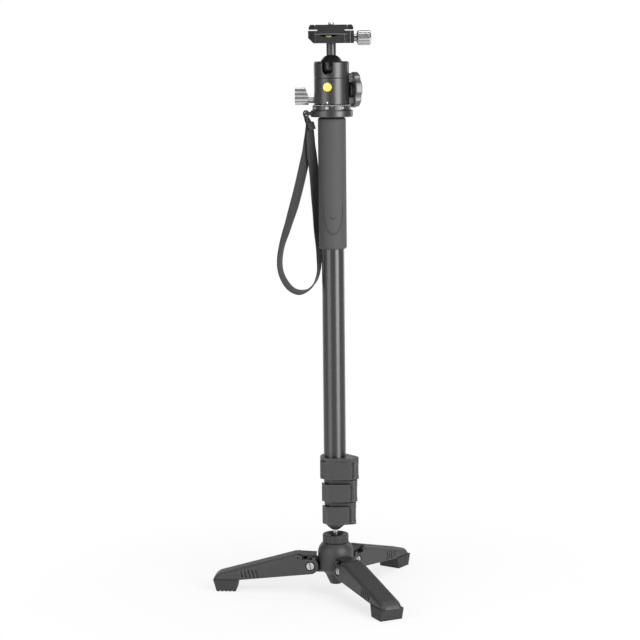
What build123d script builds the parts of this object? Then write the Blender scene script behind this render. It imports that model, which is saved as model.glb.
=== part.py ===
from build123d import *
import os
from math import cos, radians, sin, sqrt, tan

# A camera monopod with its tube sections pushed in: a folding three-legged base with a ball joint,
# four nested tubes with three flip locks, a long grip with a wrist strap, and a ball head with a
# quick-release clamp. Lengths are millimetres, +Z is up, and the origin lies on the column's axis
# at the floor. The column is seen from -Y, with +X to the right.

os.makedirs("parts", exist_ok=True)

# Clearances
running_gap = 0.05  # a shaft in its bore, a guide in its tube
bond_gap = 0.02  # pieces that are glued, pressed or screwed together
free_gap = 0.3  # faces that pass each other
overrun = 2.0  # how far a cut runs past the face that it opens
hex_sides = 6

# Base hub, with its heights counted from the leg hinges
hinge_height = 31.0
hinge_step = 8.5  # outside the hub
hub_foot_drop = 10.4
hub_foot_radius = 12.5
hub_skirt_height = 6.4
hub_radius = 21.0
hub_shoulder_rise = 15.0
hub_rise = 27.5
hub_top_radius = 14.6
hub_neck_radius = 12.6
hub_neck_height = 5.5
hub_neck_wall = 1.6
plug_height = 12.6
plug_toe_radius = 6.8
plug_spigot_radius = 6.0
plug_spigot_depth = 8.0

# Base ball joint
base_ball_radius = 9.0
base_ball_depth = 3.0  # its centre below the hub's top
base_seat_depth = 11.5
stud_radius = 3.0
stud_head_radius = 5.0
stud_head_height = 3.0
stud_seat_step = 2.0
collar_radius = 15.3
collar_height = 9.2
collar_chamfer = 0.8
collar_lip_drop_share = 0.38  # heights of the lip above the ball's centre, as shares of its radius
collar_lip_rise_share = 0.775
collar_mouth_radius = 13.0
collar_grip_count = 18
collar_grip_radius = 1.0
base_tilt_gap = 0.2

# Legs
leg_azimuths = {"left": 176.0, "rear": 56.0, "front": -64.0}
leg_end_radius = 9.5
leg_root_turn = 130.0
leg_brow = 2.0
leg_width = 26.0
leg_top_step = 19.0
leg_top_rise = 14.0
leg_heel = 115.0
foot_length = 30.0
foot_height = 13.5
toe_length = 9.0
toe_rise = 8.0
leg_crown_radius = 6.0
leg_wall = 3.0
bay_step = 23.5
bay_stop = 4.0
bay_count = 3
bay_rib = 2.4
tongue_width = 12.0
tongue_radius = 8.0
hinge_pin_radius = 2.0
hinge_head_radius = 4.5
hinge_head_height = 1.5
hinge_recess_radius = 6.0
hinge_recess_depth = 2.0
driver_slot_width = 1.0
driver_slot_depth = 0.8
grip_slot_count = 5
grip_slot_step = 22.0
grip_slot_pitch = 4.6
grip_slot_width = 2.2
grip_slot_length = 11.0
grip_slot_depth = 1.2
grip_slot_lean = 14.0
grip_slot_rise = 8.0
nub_radius = 1.4
nub_drop = 2.4
nub_step = 11.0

# Leg latches
latch_step = 14.5
latch_rise = 9.9
latch_barrel_radius = 4.4
latch_plate_thickness = 2.4
latch_width = 17.0
latch_reach = 21.1
latch_tooth_drop = 1.8
window_start_step = 2.5
window_end_step = 9.9
window_rise = 7.5
root_lug_rise = 10.6
latch_pin_radius = 1.3

# Feet
foot_width = 28.0
foot_toe_in = 4.0
foot_heel_in = 3.0
foot_edge_radius = 1.2
foot_corner_lean = 20.0  # the most that a foot's upright corners lean, in degrees
tread_count = 4
tread_depth = 0.8
tread_width = 1.6

# Tubes, from the lowest section to the outer tube
tube_radii = [7.75, 9.5, 11.25, 13.0]
tube_wall = 1.2
upper_tube_length = 412.8
tube_top_drops = [25.8, 21.8, 17.8]  # below the platform
guide_height = 20.0
guide_slit = 1.5

# Flip locks, from the lowest to the highest
lock_base_rise = 26.5  # above the base ball's centre
lock_pitch = 27.0
lock_height = 26.0
lock_body_radii = [15.2, 15.6, 17.4]
lock_pin_places = [18.3, 19.9, 21.7]
lock_crease_places = [-9.2, -8.6, -8.4]
lock_seat_height = 9.0
lock_side_wall = 2.1
lever_height = 21.4
lever_thickness = 2.7
lever_front_step = 1.9
lever_crown = 0.5
lever_barrel_radius = 5.9
lever_barrel_floor = 4.3
lever_barrel_top = 17.7
lever_floor = 0.5
lever_seam_step = 2.4
scoop_rise = 6.5
scoop_reach = 4.8
knuckle_radius = 6.2
ear_height = 4.0
lock_pin_share = 0.52  # how far in front of the axis the hinge pin lies, as a share of the body
lock_pin_radius = 1.5
lock_bolt_radius = 1.5
lock_bolt_head_radius = 2.7
lock_bolt_head_height = 2.4
lock_slit = 1.5
lock_lug_depth = 6.4
lock_lug_reach = 2.0  # past the hinge pin
lever_tip = 2.6
lock_edge = 0.6
lock_flange_corner = 1.5

# Bottom fitting
fitting_radius = 10.0
fitting_flange_height = 3.7
fitting_cone_height = 4.0
fitting_toe_radius = 5.2
fitting_spigot_height = 13.0

# Grip and platform
grip_length = 151.0
grip_top_gap = 0.8
grip_radius = 16.1
grip_edge_radius = 2.6
top_plug_height = 13.0
platform_height = 7.7
platform_radius = 24.3
platform_edge = 0.8
platform_stud_radius = 4.76
platform_stud_height = 25.0
lug_width = 20.0
lug_bar_radius = 1.6
lug_bar_place = 29.6
lug_arm_width = 2.6
lug_root_depth = 2.0

# Pan base
pan_ring_radius = 22.3
pan_ring_height = 6.1
pan_ring_bevel = 1.2
spindle_radius = 7.0
spindle_height = 10.4

# Housing, with its heights counted from its underside
housing_radius = 20.2
housing_height = 48.8
housing_chamfer = 1.3
housing_groove_rise = 30.1
housing_groove_width = 1.0
housing_groove_depth = 0.5
ball_radius = 13.9
ball_rise = 42.9
ball_gap = 0.15
cup_drop = 16.8
cup_height = 9.6
drop_azimuth = -104.0
drop_width = 13.0
drop_floor_drop = 9.2
trim_radius = 5.15
trim_rise = 20.1
trim_seat_step = 1.2
trim_thickness = 1.4

# Ball lock knob
main_knob_azimuth = 18.0
main_knob_rise = 16.1
main_knob_radius = 20.5
main_knob_step = 2.7
main_knob_thickness = 7.8
main_knob_lobes = 6
main_knob_turn = 22.0
main_knob_scallop_radius = 9.0
main_knob_scallop_depth = 2.0
main_knob_edge = 1.4
main_knob_boss_radius = 9.0
main_screw_radius = 3.0
main_screw_depth = 14.2

# Pan lock knob
pan_knob_azimuth = 174.0
pan_knob_rise = 4.8
pan_knob_step = 6.3
pan_knob_length = 15.5
pan_knob_hub_radius = 5.4
pan_knob_wing_height = 14.5
pan_knob_wing_radius = 2.6
pan_knob_slant = 4.2
pan_neck_radius = 3.4
pan_screw_radius = 2.2

# Stem and clamp
stem_radius = 5.5
stem_rise = 26.4
stem_spigot_radius = 4.0
stem_spigot_height = 2.0
clamp_height = 14.1
clamp_left = 26.0
clamp_split = 15.5
clamp_right = 25.9
clamp_depth = 44.0
clamp_corner = 8.0
clamp_under_cut = 6.0
dovetail_width = 38.0
dovetail_floor = 10.2  # above the clamp's underside
dovetail_rise = 3.4
dovetail_gap = 0.2
deck_scoop_radius = 23.0
deck_scoop_depth = 3.6
deck_scoop_shift = 3.0
level_radius = 4.0
level_height = 3.0
level_seat = 1.0
level_place = 16.0
clamp_bolt_radius = 2.5
clamp_bolt_head_radius = 4.4
clamp_bolt_head_height = 3.0
clamp_bolt_seat = 3.2
clamp_bolt_length = 12.0
guide_pin_radius = 1.6
guide_pin_place = 13.0
guide_pin_depth = 9.0
jaw_gap = 0.3
clamp_screw_radius = 2.5
clamp_screw_depth = 8.0
clamp_neck_radius = 4.2
clamp_neck_length = 3.0
clamp_knob_radius = 8.5
clamp_knob_length = 16.5
clamp_knob_edge = 1.8
clamp_knob_flutes = 16
clamp_knob_flute_radius = 0.9
clamp_axis_rise = 5.8  # the clamp screw's axis above the clamp's underside

# Quick-release plate
plate_width = 50.7
plate_depth = 42.0
plate_flange_height = 5.5
plate_neck_height = 1.5
plate_corner = 7.0
plate_edge = 1.6
plate_groove_width = 1.2
plate_groove_depth = 0.8
plate_groove_place = 18.5
camera_screw_radius = 3.175
camera_screw_rise = 2.9
camera_screw_neck_radius = 2.7
camera_screw_tip = 0.4
camera_screw_relief = 0.2
camera_screw_head_radius = 6.5
camera_screw_head_height = 2.6

# Wrist strap, with its route as places across and drops below the sewn anchor
strap_width = 13.0
strap_thickness = 1.6
strap_bend_share = 0.45  # of the shorter run beside a corner
strap_anchor_drop = 11.8  # its end below the platform
strap_left_run = [(-28.0, 0.0), (-28.0, 18.0), (-33.4, 48.0), (-42.0, 83.0), (-52.0, 115.0)]
strap_bottom_run = [(-60.8, 141.0), (-62.4, 165.0), (-53.5, 185.5), (-39.0, 194.0), (-25.5, 188.5)]
strap_right_run = [(-18.4, 172.0), (-17.6, 149.0), (-19.8, 119.0), (-19.4, 81.0), (-21.6, 45.0)]
strap_top_run = [(-26.2, 18.0), (-26.2, 0.0)]


# Heights and places, each from what carries it
hinge_radius = hub_radius + hinge_step
hub_floor_height = hinge_height - hub_foot_drop
hub_shoulder_height = hinge_height + hub_shoulder_rise
hub_top_height = hinge_height + hub_rise
base_ball_height = hub_top_height - base_ball_depth
leg_root_floor = hinge_height - leg_end_radius
leg_top_start = hinge_radius + leg_top_step
leg_top_height = hinge_height + leg_top_rise
leg_reach = leg_heel + foot_length
leg_toe_start = leg_reach - toe_length
leg_toe_height = foot_height + toe_rise
bay_start = hinge_radius + bay_step
bay_end = leg_heel - bay_stop
grip_slot_first = leg_heel - grip_slot_step
grip_slot_height = foot_height + grip_slot_rise
nub_place = hinge_radius + nub_step
latch_radius = hinge_radius + latch_step
latch_height = hinge_height + latch_rise
latch_nose = latch_radius - latch_reach
window_start = hinge_radius - window_start_step
window_end = hinge_radius + window_end_step
window_floor = hinge_height + window_rise
root_lug_height = hinge_height + root_lug_rise
lock_base_height = base_ball_height + lock_base_rise
upper_lock_floor = lock_base_height + (len(lock_body_radii) - 1) * lock_pitch
platform_floor = upper_lock_floor + lock_seat_height + upper_tube_length
tube_tops = [platform_floor - drop for drop in tube_top_drops]
grip_top = platform_floor - grip_top_gap
grip_floor = grip_top - grip_length
strap_anchor_floor = platform_floor - strap_anchor_drop
platform_top = platform_floor + platform_height
pan_ring_top = platform_top + pan_ring_height
housing_floor = pan_ring_top + free_gap
housing_top_height = housing_floor + housing_height
housing_groove_height = housing_floor + housing_groove_rise
ball_height = housing_floor + ball_rise
cup_floor_height = ball_height - cup_drop
drop_floor_height = ball_height - drop_floor_drop
trim_height = housing_floor + trim_rise
main_knob_height = housing_floor + main_knob_rise
main_knob_start = housing_radius + main_knob_step
main_screw_start = housing_radius - main_screw_depth
pan_knob_height = housing_floor + pan_knob_rise
pan_knob_start = housing_radius + pan_knob_step
pan_knob_end = pan_knob_start + pan_knob_length
clamp_floor_height = ball_height + stem_rise
clamp_top = clamp_floor_height + clamp_height
deck = clamp_floor_height + dovetail_floor
tail_floor = deck + dovetail_gap
tail_top = tail_floor + dovetail_rise
plate_floor = tail_top + plate_neck_height
plate_top_height = plate_floor + plate_flange_height


def save(piece, label):
    """Label a finished piece and write its STEP file."""
    piece.part.label = label
    export_step(piece.part, f"parts/{label}.step")


def facing(azimuth, distance, height):
    """A plane that looks outwards at an azimuth, with its local y pointing up."""
    turn = radians(azimuth)
    outward = (cos(turn), sin(turn), 0)
    place = (distance * cos(turn), distance * sin(turn), height)
    return Plane(origin=place, x_dir=(-sin(turn), cos(turn), 0), z_dir=outward)


# Base hub, its plug and the ball seat
seat_bore_radius = hub_neck_radius - hub_neck_wall
seat_floor_height = base_ball_height - base_seat_depth
hub_skirt_top = hub_floor_height + hub_skirt_height

with BuildPart() as base_hub:
    with BuildSketch(Plane.XZ):
        with BuildLine():
            Polyline(
                (0, hub_floor_height),
                (hub_foot_radius, hub_floor_height),
                (hub_radius, hub_skirt_top),
                (hub_radius, hub_shoulder_height),
            )
            TangentArc(
                (hub_radius, hub_shoulder_height), (hub_top_radius, hub_top_height), tangent=(0, 1)
            )
            Polyline(
                (hub_top_radius, hub_top_height),
                (hub_neck_radius, hub_top_height),
                (hub_neck_radius, hub_top_height + hub_neck_height),
                (0, hub_top_height + hub_neck_height),
                (0, hub_floor_height),
            )
        make_face()
    revolve(axis=Axis.Z)
    for azimuth in leg_azimuths.values():
        with Locations(Location((0, 0, 0), (0, 0, azimuth))):
            with Locations(Location((hinge_radius, 0, hinge_height), (90, 0, 0))):
                Cylinder(
                    leg_end_radius + free_gap, leg_width + 2 * free_gap, mode=Mode.SUBTRACT
                )
            with Locations((hinge_radius / 2, 0, hinge_height)):
                Box(hinge_radius, tongue_width, 2 * tongue_radius)
            with Locations(Location((hinge_radius, 0, hinge_height), (90, 0, 0))):
                Cylinder(tongue_radius, tongue_width)
                Cylinder(
                    hinge_pin_radius + running_gap, tongue_width + overrun, mode=Mode.SUBTRACT
                )
    with BuildSketch(Plane.XY.offset(seat_floor_height)):
        Circle(seat_bore_radius)
    extrude(amount=hub_top_height + hub_neck_height - seat_floor_height + overrun, mode=Mode.SUBTRACT)
    with BuildSketch(Plane.XY.offset(hub_floor_height - overrun)):
        Circle(plug_spigot_radius + bond_gap)
    extrude(amount=plug_spigot_depth + overrun, mode=Mode.SUBTRACT)
save(base_hub, "base_hub")

with BuildPart() as hub_bottom_plug:
    with BuildSketch(Plane.XZ):
        with BuildLine():
            Polyline(
                (0, hub_floor_height - plug_height),
                (plug_toe_radius, hub_floor_height - plug_height),
                (hub_foot_radius, hub_floor_height - bond_gap),
                (plug_spigot_radius, hub_floor_height - bond_gap),
                (plug_spigot_radius, hub_floor_height + plug_spigot_depth - free_gap),
                (0, hub_floor_height + plug_spigot_depth - free_gap),
                close=True,
            )
        make_face()
    revolve(axis=Axis.Z)
    toe = hub_bottom_plug.edges().group_by(Axis.Z)[0]
    fillet(toe, plug_toe_radius / 4)
save(hub_bottom_plug, "hub_bottom_plug")

with BuildPart() as base_ball_seat:
    with BuildSketch(Plane.XY.offset(seat_floor_height)):
        Circle(seat_bore_radius - bond_gap)
    extrude(amount=base_seat_depth)
    with Locations((0, 0, base_ball_height)):
        Sphere(base_ball_radius + running_gap, mode=Mode.SUBTRACT)
save(base_ball_seat, "base_ball_seat")

# The tension collar screws over the hub's neck, and its inner lip holds the ball down
collar_floor_height = hub_top_height + free_gap
collar_top_height = collar_floor_height + collar_height
neck_top_height = hub_top_height + hub_neck_height
lip_sphere = base_ball_radius + base_tilt_gap / 2
lip_floor = base_ball_radius * collar_lip_drop_share
lip_top = base_ball_radius * collar_lip_rise_share
lip_floor_radius = sqrt(lip_sphere**2 - lip_floor**2)
lip_top_radius = sqrt(lip_sphere**2 - lip_top**2)
lip_middle = (lip_floor + lip_top) / 2
lip_middle_radius = sqrt(lip_sphere**2 - lip_middle**2)

with BuildPart() as tension_collar:
    with BuildSketch(Plane.XZ):
        with BuildLine():
            Polyline(
                (lip_floor_radius, base_ball_height + lip_floor),
                (seat_bore_radius - running_gap, base_ball_height + lip_floor),
                (seat_bore_radius - running_gap, neck_top_height + free_gap),
                (hub_neck_radius + running_gap, neck_top_height + free_gap),
                (hub_neck_radius + running_gap, collar_floor_height),
                (collar_radius - collar_chamfer / 2, collar_floor_height),
                (collar_radius, collar_floor_height + collar_chamfer / 2),
                (collar_radius, collar_top_height - collar_chamfer),
                (collar_radius - collar_chamfer, collar_top_height),
                (collar_mouth_radius, collar_top_height),
                (lip_top_radius, base_ball_height + lip_top),
            )
            ThreePointArc(
                (lip_top_radius, base_ball_height + lip_top),
                (lip_middle_radius, base_ball_height + lip_middle),
                (lip_floor_radius, base_ball_height + lip_floor),
            )
        make_face()
    revolve(axis=Axis.Z)
    with BuildSketch(Plane.XY.offset(collar_floor_height - overrun)):
        with PolarLocations(collar_radius + collar_grip_radius / 2, collar_grip_count):
            Circle(collar_grip_radius)
    extrude(amount=collar_height + 2 * overrun, mode=Mode.SUBTRACT)
save(tension_collar, "tension_collar")

with BuildPart() as base_ball:
    with Locations((0, 0, base_ball_height)):
        Sphere(base_ball_radius)
save(base_ball, "base_ball")

# The stud stands on the ball and carries the bottom fitting on its head
fitting_top_height = lock_base_height - free_gap
fitting_floor_height = fitting_top_height - fitting_flange_height - fitting_cone_height
stud_seat_height = fitting_top_height + stud_seat_step

with BuildPart() as base_stud:
    with BuildSketch(Plane.XY.offset(base_ball_height)):
        Circle(stud_radius)
    extrude(amount=stud_seat_height + stud_head_height - base_ball_height)
    with BuildSketch(Plane.XY.offset(stud_seat_height + running_gap)):
        Circle(stud_head_radius)
    extrude(amount=stud_head_height)
    with Locations((0, 0, base_ball_height)):
        Sphere(base_ball_radius + base_tilt_gap, mode=Mode.SUBTRACT)
save(base_stud, "base_stud")

with BuildPart() as bottom_fitting:
    spigot_radius = tube_radii[0] - tube_wall - bond_gap
    spigot_top = fitting_top_height + fitting_spigot_height
    with BuildSketch(Plane.XZ):
        with BuildLine():
            Polyline(
                (stud_radius + running_gap, fitting_floor_height),
                (fitting_toe_radius, fitting_floor_height),
                (fitting_radius, fitting_floor_height + fitting_cone_height),
                (fitting_radius, fitting_top_height),
                (spigot_radius, fitting_top_height),
                (spigot_radius, spigot_top),
                (stud_head_radius + running_gap, spigot_top),
                (stud_head_radius + running_gap, stud_seat_height),
                (stud_radius + running_gap, stud_seat_height),
                close=True,
            )
        make_face()
    revolve(axis=Axis.Z)
save(bottom_fitting, "bottom_fitting")


# Legs. One leg is formed along +X, and each leg is that form turned to its azimuth
def leg_top(place):
    """Height of the leg's top line at a distance from the axis."""
    slope = (leg_toe_height - leg_top_height) / (leg_toe_start - leg_top_start)
    return leg_top_height + slope * (place - leg_top_start)


root_angle = radians(leg_root_turn)
root_corner = hinge_radius + leg_end_radius * cos(root_angle)
fork_gap = tongue_width + 2 * free_gap
fork_reach = tongue_radius + 2 * free_gap
bay_pitch = (bay_end - bay_start + bay_rib) / bay_count
latch_plate_top = latch_height + latch_barrel_radius - free_gap
latch_plate_floor = latch_plate_top - latch_plate_thickness

with BuildPart() as leg_form:
    with BuildSketch(Plane.XZ):
        with BuildLine():
            ThreePointArc(
                (hinge_radius, hinge_height - leg_end_radius),
                (hinge_radius - leg_end_radius, hinge_height),
                (root_corner, hinge_height + leg_end_radius * sin(root_angle)),
            )
            Polyline(
                (root_corner, hinge_height + leg_end_radius * sin(root_angle)),
                (root_corner, root_lug_height),
                (window_start, root_lug_height),
                (window_start, window_floor),
                (window_end, window_floor),
                (window_end, leg_top_height - leg_brow),
                (leg_top_start, leg_top_height),
                (leg_toe_start, leg_toe_height),
            )
            TangentArc(
                (leg_toe_start, leg_toe_height),
                (leg_reach, foot_height),
                tangent=(leg_toe_start - leg_top_start, leg_toe_height - leg_top_height),
            )
            Polyline(
                (leg_reach, foot_height),
                (leg_heel, foot_height),
                (hinge_radius, hinge_height - leg_end_radius),
            )
        make_face()
    extrude(amount=leg_width / 2, both=True)
    crown = [
        edge
        for edge in leg_form.edges()
        if edge.center().X > leg_top_start
        and edge.center().Z > leg_top(edge.center().X) - leg_wall
        and abs(abs(edge.center().Y) - leg_width / 2) < free_gap
        and edge.length > leg_end_radius
    ]
    fillet(crown, leg_crown_radius)
    with BuildSketch(Plane.XZ):
        with BuildLine():
            Polyline(
                (0, 0),
                (hinge_radius + fork_reach, 0),
                (hinge_radius + fork_reach, hinge_height + fork_reach),
                (0, hinge_height + fork_reach),
                close=True,
            )
        make_face()
    extrude(amount=fork_gap / 2, both=True, mode=Mode.SUBTRACT)
    with BuildSketch(Plane.XZ):
        with Locations((latch_radius, latch_height)):
            Circle(latch_barrel_radius + free_gap)
        with BuildLine():
            Polyline(
                (window_end - free_gap, latch_plate_floor - free_gap),
                (latch_radius, latch_plate_floor - free_gap),
                (latch_radius, leg_top_height + overrun),
                (window_end - free_gap, leg_top_height + overrun),
                close=True,
            )
        make_face()
    extrude(amount=latch_width / 2 + free_gap, both=True, mode=Mode.SUBTRACT)
    with BuildSketch(Plane.XZ):
        with Locations((hinge_radius, hinge_height)):
            Circle(hinge_pin_radius + running_gap)
        with Locations((latch_radius, latch_height)):
            Circle(latch_pin_radius + running_gap)
    extrude(amount=leg_width, both=True, mode=Mode.SUBTRACT)
    for side in (1, -1):
        with BuildSketch(Plane.XZ.offset(side * (leg_width / 2 - hinge_recess_depth))):
            with Locations((hinge_radius, hinge_height)):
                Circle(hinge_recess_radius)
        extrude(amount=side * (hinge_recess_depth + overrun), mode=Mode.SUBTRACT)
        with BuildSketch(Plane.XZ.offset(side * (leg_width / 2 - grip_slot_depth))):
            for slot in range(grip_slot_count):
                with Locations((grip_slot_first + slot * grip_slot_pitch, grip_slot_height)):
                    SlotOverall(grip_slot_length, grip_slot_width, rotation=90 - grip_slot_lean)
        extrude(amount=side * (grip_slot_depth + overrun), mode=Mode.SUBTRACT)
    for bay in range(bay_count):
        near = bay_start + bay * bay_pitch
        far = near + bay_pitch - bay_rib
        with BuildSketch(Plane.XZ):
            with BuildLine():
                Polyline(
                    (near, 0),
                    (near, leg_top(near) - leg_wall),
                    (far, leg_top(far) - leg_wall),
                    (far, 0),
                    close=True,
                )
            make_face()
        extrude(amount=leg_width / 2 - leg_wall, both=True, mode=Mode.SUBTRACT)
    with BuildSketch(Plane.XY.offset(leg_root_floor - nub_drop)):
        with Locations((nub_place, 0)):
            Circle(nub_radius)
    extrude(amount=nub_drop + overrun)

for name, azimuth in leg_azimuths.items():
    with BuildPart() as leg:
        add(leg_form.part, rotation=(0, 0, azimuth))
    save(leg, f"leg_{name}")

# Feet: rubber pads under the toes, with a tread and sloping ends
foot_top_height = foot_height - bond_gap

with BuildPart() as foot_form:
    with BuildSketch(Plane.XZ):
        with BuildLine():
            Polyline(
                (leg_heel, foot_top_height),
                (leg_heel + foot_heel_in, 0),
                (leg_reach - foot_toe_in, 0),
                (leg_reach, foot_top_height),
                close=True,
            )
        make_face()
    extrude(amount=foot_width / 2, both=True)
    fillet(foot_form.edges().filter_by(Axis.Z, tolerance=foot_corner_lean), foot_edge_radius)
    tread_pitch = (leg_reach - leg_heel - foot_toe_in - foot_heel_in) / (tread_count + 1)
    with BuildSketch(Plane.XZ):
        for tread in range(tread_count):
            with Locations((leg_heel + foot_heel_in + (tread + 1) * tread_pitch, 0)):
                Rectangle(tread_width, 2 * tread_depth)
    extrude(amount=foot_width, both=True, mode=Mode.SUBTRACT)

# Latches: a sprung rocker between the cheeks of each leg, with its nose over the hinge
with BuildPart() as latch_form:
    with BuildSketch(Plane.XZ):
        with Locations((latch_radius, latch_height)):
            Circle(latch_barrel_radius)
        with BuildLine():
            Polyline(
                (latch_radius, latch_plate_top),
                (latch_nose, latch_plate_top - latch_tooth_drop / 2),
                (latch_nose, latch_plate_top - latch_plate_thickness - latch_tooth_drop / 2),
                (latch_radius, latch_plate_top - latch_plate_thickness),
                close=True,
            )
        make_face()
    extrude(amount=latch_width / 2, both=True)
    with BuildSketch(Plane.XZ):
        with Locations((latch_radius, latch_height)):
            Circle(latch_pin_radius)
    extrude(amount=leg_width / 2 - hinge_recess_depth / 2, both=True)

# Hinge pins: a slotted head and a plain end, each in its recess
pin_shoulder = leg_width / 2 - hinge_recess_depth + running_gap

with BuildPart() as pin_form:
    with Locations(Location((hinge_radius, 0, hinge_height), (90, 0, 0))):
        Cylinder(hinge_pin_radius, 2 * pin_shoulder + hinge_head_height)
    for side in (1, -1):
        with BuildSketch(Plane.XZ.offset(side * pin_shoulder)):
            with Locations((hinge_radius, hinge_height)):
                Circle(hinge_head_radius)
        extrude(amount=side * hinge_head_height)
        with BuildSketch(Plane.XZ.offset(side * (pin_shoulder + hinge_head_height - driver_slot_depth))):
            with Locations((hinge_radius, hinge_height)):
                Rectangle(driver_slot_width, 2 * hinge_head_radius, rotation=side * grip_slot_lean)
        extrude(amount=side * overrun, mode=Mode.SUBTRACT)

for name, azimuth in leg_azimuths.items():
    with BuildPart() as foot:
        add(foot_form.part, rotation=(0, 0, azimuth))
    save(foot, f"foot_{name}")
    with BuildPart() as latch:
        add(latch_form.part, rotation=(0, 0, azimuth))
    save(latch, f"leg_latch_{name}")
    with BuildPart() as leg_pin:
        add(pin_form.part, rotation=(0, 0, azimuth))
    save(leg_pin, f"leg_pin_{name}")


# Tube sections and their guides
def lock_floor(level):
    """Height of the underside of a lock, counted from the lowest."""
    return lock_base_height + level * lock_pitch


tube_floors = [fitting_top_height + bond_gap] + [
    lock_floor(level) + lock_seat_height for level in range(len(lock_body_radii))
]
tube_ceilings = tube_tops + [platform_floor - bond_gap]
tube_names = ["section_4_tube", "section_3_tube", "section_2_tube", "upper_tube"]
guide_names = ["section_4_guide", "section_3_guide", "section_2_guide"]

for level, name in enumerate(tube_names):
    with BuildPart() as tube:
        with BuildSketch(Plane.XY.offset(tube_floors[level])):
            Circle(tube_radii[level])
            Circle(tube_radii[level] - tube_wall, mode=Mode.SUBTRACT)
        extrude(amount=tube_ceilings[level] - tube_floors[level])
    save(tube, name)

for level, name in enumerate(guide_names):
    guide_outer = tube_radii[level + 1] - tube_wall - running_gap
    with BuildPart() as guide:
        with BuildSketch(Plane.XY.offset(tube_tops[level] - guide_height)):
            Circle(guide_outer)
            Circle(tube_radii[level] + bond_gap, mode=Mode.SUBTRACT)
            with Locations((0, guide_outer)):
                Rectangle(guide_slit, guide_outer, mode=Mode.SUBTRACT)
        extrude(amount=guide_height)
    save(guide, name)


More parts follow.
